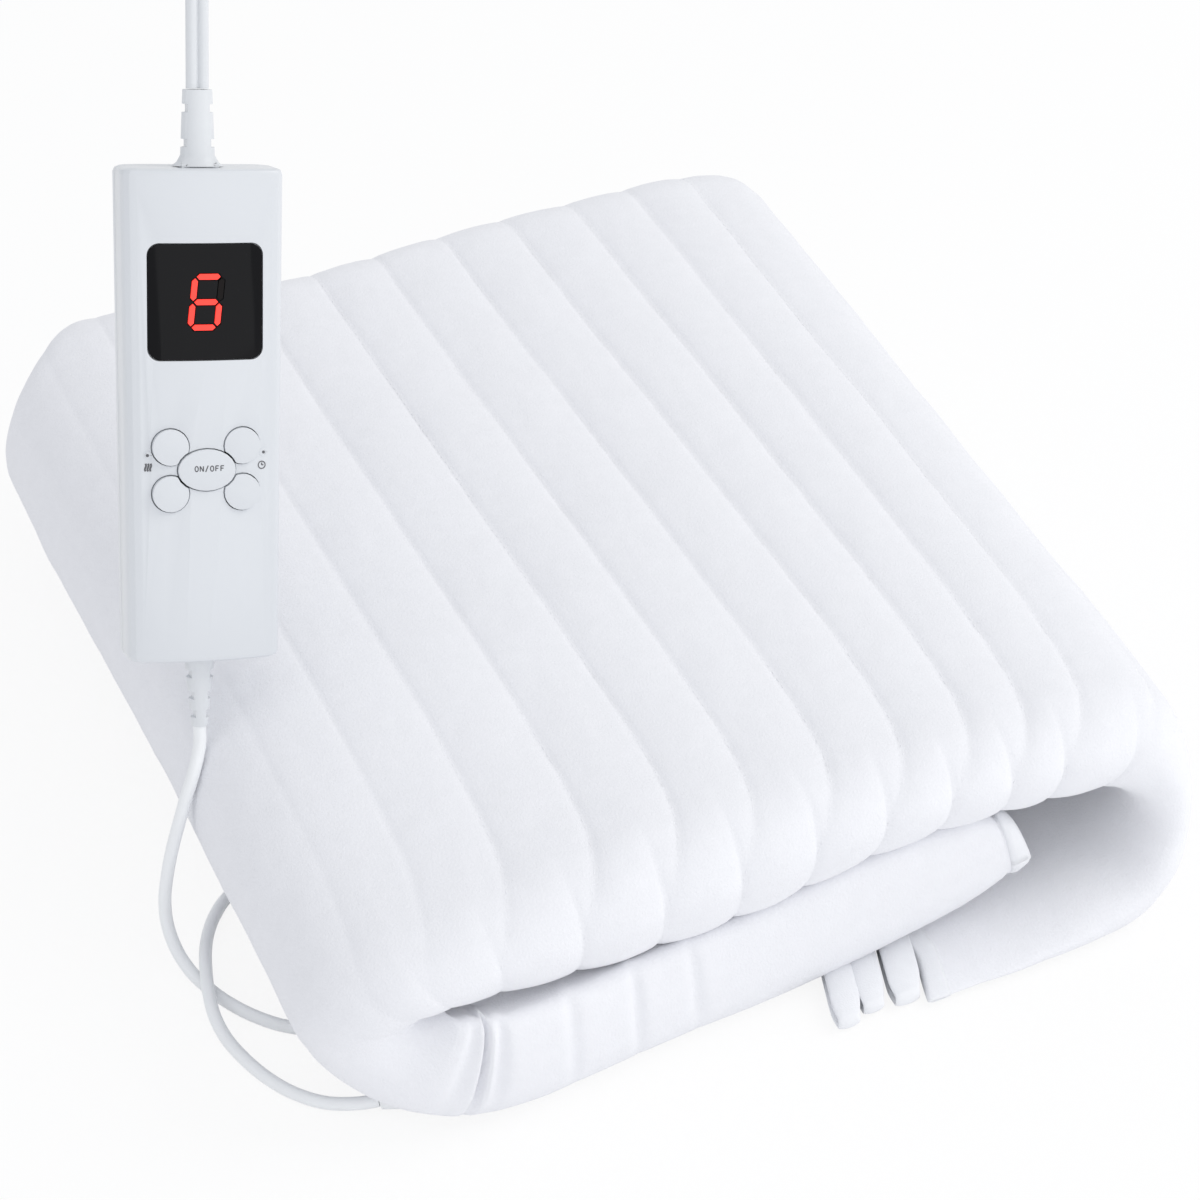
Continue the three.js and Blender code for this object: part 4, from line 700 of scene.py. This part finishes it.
def add_hem(outer, inner, node, name, last, material):
    """Tape folded over a free end, the middle flap's or, with last, the under flap's."""
    if last:
        order = np.where(fold.length - fold.s <= HEM_WIDTH)[0]
        out_of_end = np.array([-1.0, 0, 0])
    else:
        order = np.where(fold.s <= HEM_WIDTH)[0][::-1]
        out_of_end = np.array([1.0, 0, 0])
    outer_normals, inner_normals = grid_normals(outer, fold.normal), grid_normals(inner, -fold.normal)
    path = [(outer, outer_normals, i) for i in order] + [(inner, inner_normals, i) for i in order[::-1]]
    count = len(path)
    height = HEM_LIFTS[last] - HEM_EDGE_LIFT
    skins = []
    for share in (1, 0):
        skin = []
        for k, (grid, normal, i) in enumerate(path):
            from_edge = min(k, count - 1 - k) / (count / 2)
            lift = HEM_EDGE_LIFT + height * smoothstep(from_edge, 0, HEM_EDGE_SHARE)
            at_end = smoothstep(1 - abs(2 * k / (count - 1) - 1), HEM_TURN_SHARE, 1)
            direction = normal[i] * (1 - at_end) + out_of_end * at_end
            direction = direction / np.linalg.norm(direction, axis=1)[:, None]
            skin.append(grid[i] + direction * lift * share - direction * HEM_SINK * (1 - share))
        skins.append(np.array(skin))
    rows = outer.shape[1]
    vertices = np.concatenate([skins[0].reshape(-1, 3), skins[1].reshape(-1, 3)])
    total = count * rows
    faces = []
    for k in range(count - 1):
        for j in range(rows - 1):
            a = k * rows + j
            faces.append((a, a + rows, a + rows + 1, a + 1))
            faces.append((total + a, total + a + 1, total + a + rows + 1, total + a + rows))
    for k in (0, count - 1):
        for j in range(rows - 1):
            a = k * rows + j
            faces.append((a, a + 1, total + a + 1, total + a))
    for j in (0, rows - 1):
        for k in range(count - 1):
            a = k * rows + j
            faces.append((a, total + a, total + a + rows, a + rows))
    hem = new_piece(name, vertices, faces, material)
    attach(hem, BODY)
    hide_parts(node)


def stitch(vertices, faces, place, along, up):
    """Adds one thread."""
    side = np.cross(up, along)
    side /= np.linalg.norm(side)
    rings = []
    for share, wide in STITCH_PROFILE_SHARES:
        ring = []
        for turn in range(STITCH_SIDES):
            angle = 2 * math.pi * turn / STITCH_SIDES
            offset = (side * math.cos(angle) + up * math.sin(angle)) * STITCH_WIDTH / 2 * wide
            ring.append(place + along * STITCH_LENGTH * share + offset)
        rings.append(ring)
    add_tube(vertices, faces, rings)


def add_stitching(name, grid, normals, material):
    """Threads along the seams of the quilting, on a grid's surface."""
    vertices, faces = [], []
    rows = np.arange(grid.shape[1])
    for s in fold.seams(STITCHED_QUILT_SHARE):
        near = grid[int(np.searchsorted(fold.s, s))]
        places = s - fold.seam_shift(s, near[:, 1] - near[0, 1])
        i = np.clip(np.searchsorted(fold.s, places), 1, len(fold.s) - 1)
        w = ((places - fold.s[i - 1]) / (fold.s[i] - fold.s[i - 1]))[:, None]
        line = grid[i - 1, rows] * (1 - w) + grid[i, rows] * w
        normal = normals[i - 1, rows] * (1 - w) + normals[i, rows] * w
        run = np.concatenate([[0], np.cumsum(np.linalg.norm(np.diff(line, axis=0), axis=1))])

        def along(values, places):
            return np.stack([np.interp(places, run, values[:, k]) for k in range(3)], 1)

        first, last = STITCHED_SHARES
        places = np.arange(first * run[-1], last * run[-1], STITCH_PITCH)
        at = along(line, places)
        ahead = along(line, places + STITCH_AHEAD) - at
        for p, a, n in zip(at, ahead, along(normal, places)):
            a, n = a / np.linalg.norm(a), n / np.linalg.norm(n)
            stitch(vertices, faces, p - n * STITCH_SINK, a, n)
    piece = new_piece(name, vertices, faces, material)
    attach(piece, BODY)


# Elastic straps: X at the loop, width and how far the loop stands short of the front
STRAPS = [(0.0207, 0.0108, 0.0), (0.0314, 0.0104, 0.0026), (0.0436, 0.0122, 0.0012)]
STRAP_LEAN = 0.33
STRAP_THICKNESS = 0.0019
STRAP_FRONT = -0.201
STRAP_LOOP_RADIUS = 0.0019
STRAP_LOOP_STEPS = 9
STRAP_SAMPLES = 70
STRAP_SIDES = 20
STRAP_TIP_REACH = 0.0045
STRAP_TIP_SHARES = (0.24, 0.4)
STRAP_CROWN_SHARE = 0.55
STRAP_ROUNDING = (0.7, 0.8)
FLOOR_GAP = 0.0001

# A strap's way from its tail to the loop: Y, and the height above lying flat
STRAP_OUT = [(-0.146, 0.00195), (-0.1625, 0.0010), (-0.1735, 0.0002), (-0.186, 0)]

# and from the loop back, above the part below
STRAP_BACK = [(-0.188, 0.0009), (-0.180, 0.0008), (-0.172, 0)]


def add_strap(index, material):
    x, width, short = STRAPS[index]
    half, loop = STRAP_THICKNESS / 2, STRAP_LOOP_RADIUS
    low = half + SEAT
    front = STRAP_FRONT + short + loop + half
    turns = np.linspace(0, math.pi, STRAP_LOOP_STEPS)
    path = [(y, low + rise) for y, rise in STRAP_OUT]
    path += [(front - loop * math.sin(t), low + loop * (1 - math.cos(t))) for t in turns]
    path += [(y, low + 2 * loop + rise) for y, rise in STRAP_BACK]
    points = [(x + STRAP_LEAN * (y - front), y, z) for y, z in path]
    line = spline_points(points, np.linspace(0, len(path) - 1, STRAP_SAMPLES))
    ahead = np.gradient(line, axis=0)
    ahead /= np.linalg.norm(ahead, axis=1)[:, None]
    narrowing, flattening = STRAP_TIP_SHARES
    side_power, face_power = STRAP_ROUNDING
    rings = []
    for p, a in zip(line, ahead):
        up = np.cross(a, (1, 0, 0))
        up /= np.linalg.norm(up)
        tip = math.exp(-((p[1] - (front - loop)) / STRAP_TIP_REACH) ** 2)
        wide = width * (1 - narrowing * tip)
        ring = []
        for k in range(STRAP_SIDES):
            angle = 2 * math.pi * k / STRAP_SIDES
            c, s = math.cos(angle), math.sin(angle)
            crown = 1 + STRAP_CROWN_SHARE * (1 - abs(c)) * (1 - flattening * tip)
            across = np.array([wide / 2 * math.copysign(abs(c) ** side_power, c), 0, 0])
            ring.append(p + across + up * half * crown * math.copysign(abs(s) ** face_power, s))
        rings.append(ring)
    vertices, faces = swept(rings)
    vertices = [(v[0], v[1], max(v[2], FLOOR_GAP)) for v in vertices]
    strap = new_piece(f"strap_{index + 1}", vertices, faces, material)
    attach(strap, BODY)
    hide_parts(f"corner_strap_{index + 1}")


# Cords

def add_cord(material):
    points = spline_points(CORD_ROUTE, np.linspace(0, len(CORD_ROUTE) - 1, CORD_SAMPLES))
    data = bpy.data.curves.new("controller_cord", "CURVE")
    data.dimensions = "3D"
    line = data.splines.new("POLY")
    line.points.add(len(points) - 1)
    for place, p in zip(line.points, points):
        place.co = (*p, 1)
    data.bevel_depth = CORD_DIAMETER / 2
    data.bevel_resolution = CORD_ROUNDNESS
    data.use_fill_caps = True
    data.materials.append(material)
    cord = bpy.data.objects.new("controller_cord", data)
    bpy.context.scene.collection.objects.link(cord)
    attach(cord, BODY)
    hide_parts("pad_cord")
    length = float(np.linalg.norm(np.diff(points, axis=0), axis=1).sum())
    return cord, length


def add_lead(material):
    """Twin lead: two round strands side by side with a web between."""
    start = HOUSING_LENGTH + LEAD_RELIEF_LENGTH + SEAT
    radius, half = STRAND_DIAMETER / 2, STRAND_PITCH / 2
    waist = math.degrees(math.acos(min(1, half / radius)))
    reach = 180 - waist - LEAD_WEB_ANGLE
    right = [(half + radius * math.cos(math.radians(t)), radius * math.sin(math.radians(t)))
             for t in np.linspace(-reach, reach, LEAD_SIDE_POINTS)]
    section = right + [(-x, -y) for x, y in right]
    heights = [start + LEAD_LENGTH * k / LEAD_STEPS for k in range(LEAD_STEPS + 1)]
    rings = [[CONTROLLER @ Vector((x, y, z)) for x, y in section] for z in heights]
    lead = new_piece("twin_lead", *swept(rings), material, sharp_angle=LEAD_SHARP_ANGLE)
    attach(lead, BODY)
    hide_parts("mains_lead")
    return lead, [tuple(CONTROLLER @ Vector((0, 0, z))) for z in heights]


# Controller

KEYS = ["power_button", "button_heat_up", "button_heat_down", "button_timer_up", "button_timer_down"]
WELD_DISTANCE = 2e-6
FLAT_ANGLE = 0.6
BEVEL_ANGLE = 25
BEVEL_STEPS = 3
SHARP_ANGLE = 35
NODE_SHARP_ANGLE = 30
MARK_SHARP_ANGLE = 30

# How far edges are rounded
EDGE_ROUNDING = 0.0003
KEY_ROUNDING = 0.00025
PANE_ROUNDING = 0.00015
PLUG_ROUNDING = 0.0006
PIN_ROUNDING = 0.0005
GLAND_ROUNDING = 0.0004


def finished(node, name, material, body=BODY, edge=EDGE_ROUNDING):
    """A copy of a CAD node, rounded at its edges and shaded smooth, which stands for the node."""
    piece = bpy.data.objects.new(name, frame["nodes"][node].data.copy())
    bpy.context.scene.collection.objects.link(piece)
    mesh = piece.data
    mesh.materials.clear()
    mesh.materials.append(material)
    bm = bmesh.new()
    bm.from_mesh(mesh)
    bmesh.ops.remove_doubles(bm, verts=bm.verts, dist=WELD_DISTANCE)
    bmesh.ops.dissolve_limit(bm, angle_limit=math.radians(FLAT_ANGLE), verts=bm.verts, edges=bm.edges)
    bm.to_mesh(mesh)
    bm.free()
    rounding = piece.modifiers.new("rounding", "BEVEL")
    rounding.width = edge
    rounding.segments = BEVEL_STEPS
    rounding.limit_method = "ANGLE"
    rounding.angle_limit = math.radians(BEVEL_ANGLE)
    rounding.use_clamp_overlap = True
    bpy.context.view_layer.update()
    rounded = piece.evaluated_get(bpy.context.evaluated_depsgraph_get())
    piece.data = bpy.data.meshes.new_from_object(rounded)
    piece.data.name = name
    piece.modifiers.clear()
    piece.data.shade_smooth()
    piece.data.set_sharp_from_angle(angle=math.radians(SHARP_ANGLE))
    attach(piece, body)
    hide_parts(node)
    return piece


def face_y(x, z):
    """Y of the housing's bowed face."""
    half = (HOUSING_BOTTOM_WIDTH + (HOUSING_TOP_WIDTH - HOUSING_BOTTOM_WIDTH) * z / HOUSING_LENGTH) / 2
    return FACE_Y + FACE_BULGE * (x / half) ** 2


# Printed marks, in strokes of x and z about the mark's centre

CIRCLE_STEP = 18
LETTER_CIRCLE_STEP = 24


def circle(radius, step=CIRCLE_STEP):
    """A closed stroke about the mark's centre, with a point every so many degrees."""
    turns = np.radians(range(0, 361, step))
    return [(radius * math.cos(t), radius * math.sin(t)) for t in turns]


PRINT_PROUD = 0.00004
PRINT_SUNK = 0.00006
LETTER_HALF_WIDTH = 0.00052
LETTER_HALF_HEIGHT = 0.00085
LETTER_PITCH = 0.00168
LETTER_STROKE = 0.00036

# Each letter's strokes, in shares of its half width and half height
LETTER_SHARES = {
    "O": [circle(1, LETTER_CIRCLE_STEP)],
    "N": [[(-1, -1), (-1, 1)], [(-1, 1), (1, -1)], [(1, -1), (1, 1)]],
    "F": [[(-0.9, -1), (-0.9, 1)], [(-0.9, 1), (1, 1)], [(-0.9, 0.05), (0.7, 0.05)]],
    "/": [[(-0.8, -1.2), (0.8, 1.2)]],
}

# The words on the oval key, and the marks and lamps beside the round keys
KEY_WORDS = "ON/OFF"
KEY_WORDS_AT = (0.0007, 0.0643)
HEAT_STROKE = 0.00058
CLOCK_STROKE = 0.00034
LAMP_DOT_RADIUS = 0.0005
LAMP_DOT_PROUD = 0.00012
LAMP_LENS_RADIUS = 0.0014
LAMPS_AT = {"heat_lamp": (-0.019, 0.0688), "timer_lamp": (0.019, 0.0688)}
HEAT_MARK_AT = (-0.0188, 0.0649)
CLOCK_MARK_AT = (0.0184, 0.0646)
CLOCK_RADIUS = 0.0012
CLOCK_HANDS = [[(0, 0.00075), (0, 0.00035), (0, 0)], [(0, 0), (0.0003, 0), (0.0006, 0)]]
HEAT_WAVES_X = (-0.0008, 0, 0.0008)
HEAT_WAVE_REACH = 0.00125
HEAT_WAVE_STEPS = 15
HEAT_WAVE_WIDTH = 0.00018
HEAT_WAVE_RUN = 0.0004


def key_y(x, z):
    """Y of the oval key's face, which is flat."""
    return FACE_Y - KEY_PROUD


def add_mark(name, strokes, centre, width, material, depth=face_y, body=BODY, proud=PRINT_PROUD):
    """Thin print on the controller. depth gives the surface's y at x and z."""
    vertices, faces = [], []
    for stroke in strokes:
        line = np.array(stroke, float) + centre
        ahead = np.gradient(line, axis=0)
        ahead /= np.linalg.norm(ahead, axis=1)[:, None]
        rings = []
        for p, a in zip(line, ahead):
            side = np.array([-a[1], a[0]]) * width / 2
            left, right = p + side, p - side
            corners = [(left, -PRINT_SUNK), (left, proud), (right, proud), (right, -PRINT_SUNK)]
            rings.append([CONTROLLER @ Vector((x, depth(x, z) - rise, z)) for (x, z), rise in corners])
        add_tube(vertices, faces, rings)
    mark = new_piece(name, vertices, faces, material, sharp_angle=MARK_SHARP_ANGLE)
    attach(mark, body)


def add_disc(name, centre, radius, material, proud):
    """A round dot, drawn as one stroke as wide as its circle's radius."""
    add_mark(name, [circle(radius / 2)], centre, radius, material, proud=proud)


def word_strokes(word):
    strokes = []
    for k, letter in enumerate(word):
        middle = (k - (len(word) - 1) / 2) * LETTER_PITCH
        for shape in LETTER_SHARES[letter]:
            strokes.append([(middle + x * LETTER_HALF_WIDTH, z * LETTER_HALF_HEIGHT) for x, z in shape])
    return strokes


def heat_strokes():
    """Rising waves, one at each X."""
    heights = np.linspace(-HEAT_WAVE_REACH, HEAT_WAVE_REACH, HEAT_WAVE_STEPS)
    return [[(x + HEAT_WAVE_WIDTH * math.sin(z / HEAT_WAVE_RUN), z) for z in heights] for x in HEAT_WAVES_X]


def dress_nodes(materials):
    """Gives every CAD node the material of its slot in the record."""
    slots = {part["node"]: part["material_slot"] for part in frame["record"]["subparts"]}
    for name, node in frame["nodes"].items():
        node.data.materials.clear()
        node.data.materials.append(materials[slots[name]])
        node.data.shade_smooth()
        node.data.set_sharp_from_angle(angle=math.radians(NODE_SHARP_ANGLE))


# The scene

materials = {name: surface(name, **settings) for name, settings in MATERIALS.items()}
add_camera()
add_world()
for name, settings in LAMPS.items():
    add_lamp(name, *settings)
add_floor()
dress_nodes(materials)

cord, cord_length = add_cord(materials["cord"])
lead, lead_path = add_lead(materials["lead"])
pad_outer, pad_inner = add_pad(materials["fleece"])
add_hem(pad_outer, pad_inner, "flap_hem", "flap_hem_tape", False, materials["tape"])
add_hem(pad_outer, pad_inner, "under_flap_hem", "under_flap_hem_tape", True, materials["tape"])
add_stitching("quilting_stitches", pad_outer, grid_normals(pad_outer, fold.normal), materials["thread"])
for index in range(len(STRAPS)):
    add_strap(index, materials["tape"])

for key in KEYS:
    finished(key, key + "_cap", materials["key"], key + "_body", edge=KEY_ROUNDING)
ink = materials["print"]
add_mark("power_words", word_strokes(KEY_WORDS), KEY_WORDS_AT, LETTER_STROKE, ink, key_y,
         "power_button_body")
add_mark("heat_mark", heat_strokes(), HEAT_MARK_AT, HEAT_STROKE, ink)
add_mark("clock_mark", [circle(CLOCK_RADIUS), *CLOCK_HANDS], CLOCK_MARK_AT, CLOCK_STROKE, ink)
for lamp, place in LAMPS_AT.items():
    add_disc(lamp + "_lens", place, LAMP_LENS_RADIUS, materials["key"], PRINT_PROUD)
    add_disc(lamp + "_dot", place, LAMP_DOT_RADIUS, ink, LAMP_DOT_PROUD)
finished("controller_front_shell", "front_housing", materials["shell"])
finished("controller_rear_shell", "rear_housing", materials["shell"])
finished("display_window", "dark_pane", materials["window"], edge=PANE_ROUNDING)
finished("lead_strain_relief", "lead_boot", materials["lead"])
finished("cord_strain_relief", "cord_boot", materials["lead"])
plug = finished("plug_body", "plug_moulding", materials["lead"], edge=PLUG_ROUNDING)
pins = [finished(f"plug_pin_{i}", f"plug_contact_{i}", materials["steel"], edge=PIN_ROUNDING)
        for i in (1, 2)]
gland = finished("pad_cord_gland", "pad_gland", materials["cord"], edge=GLAND_ROUNDING)
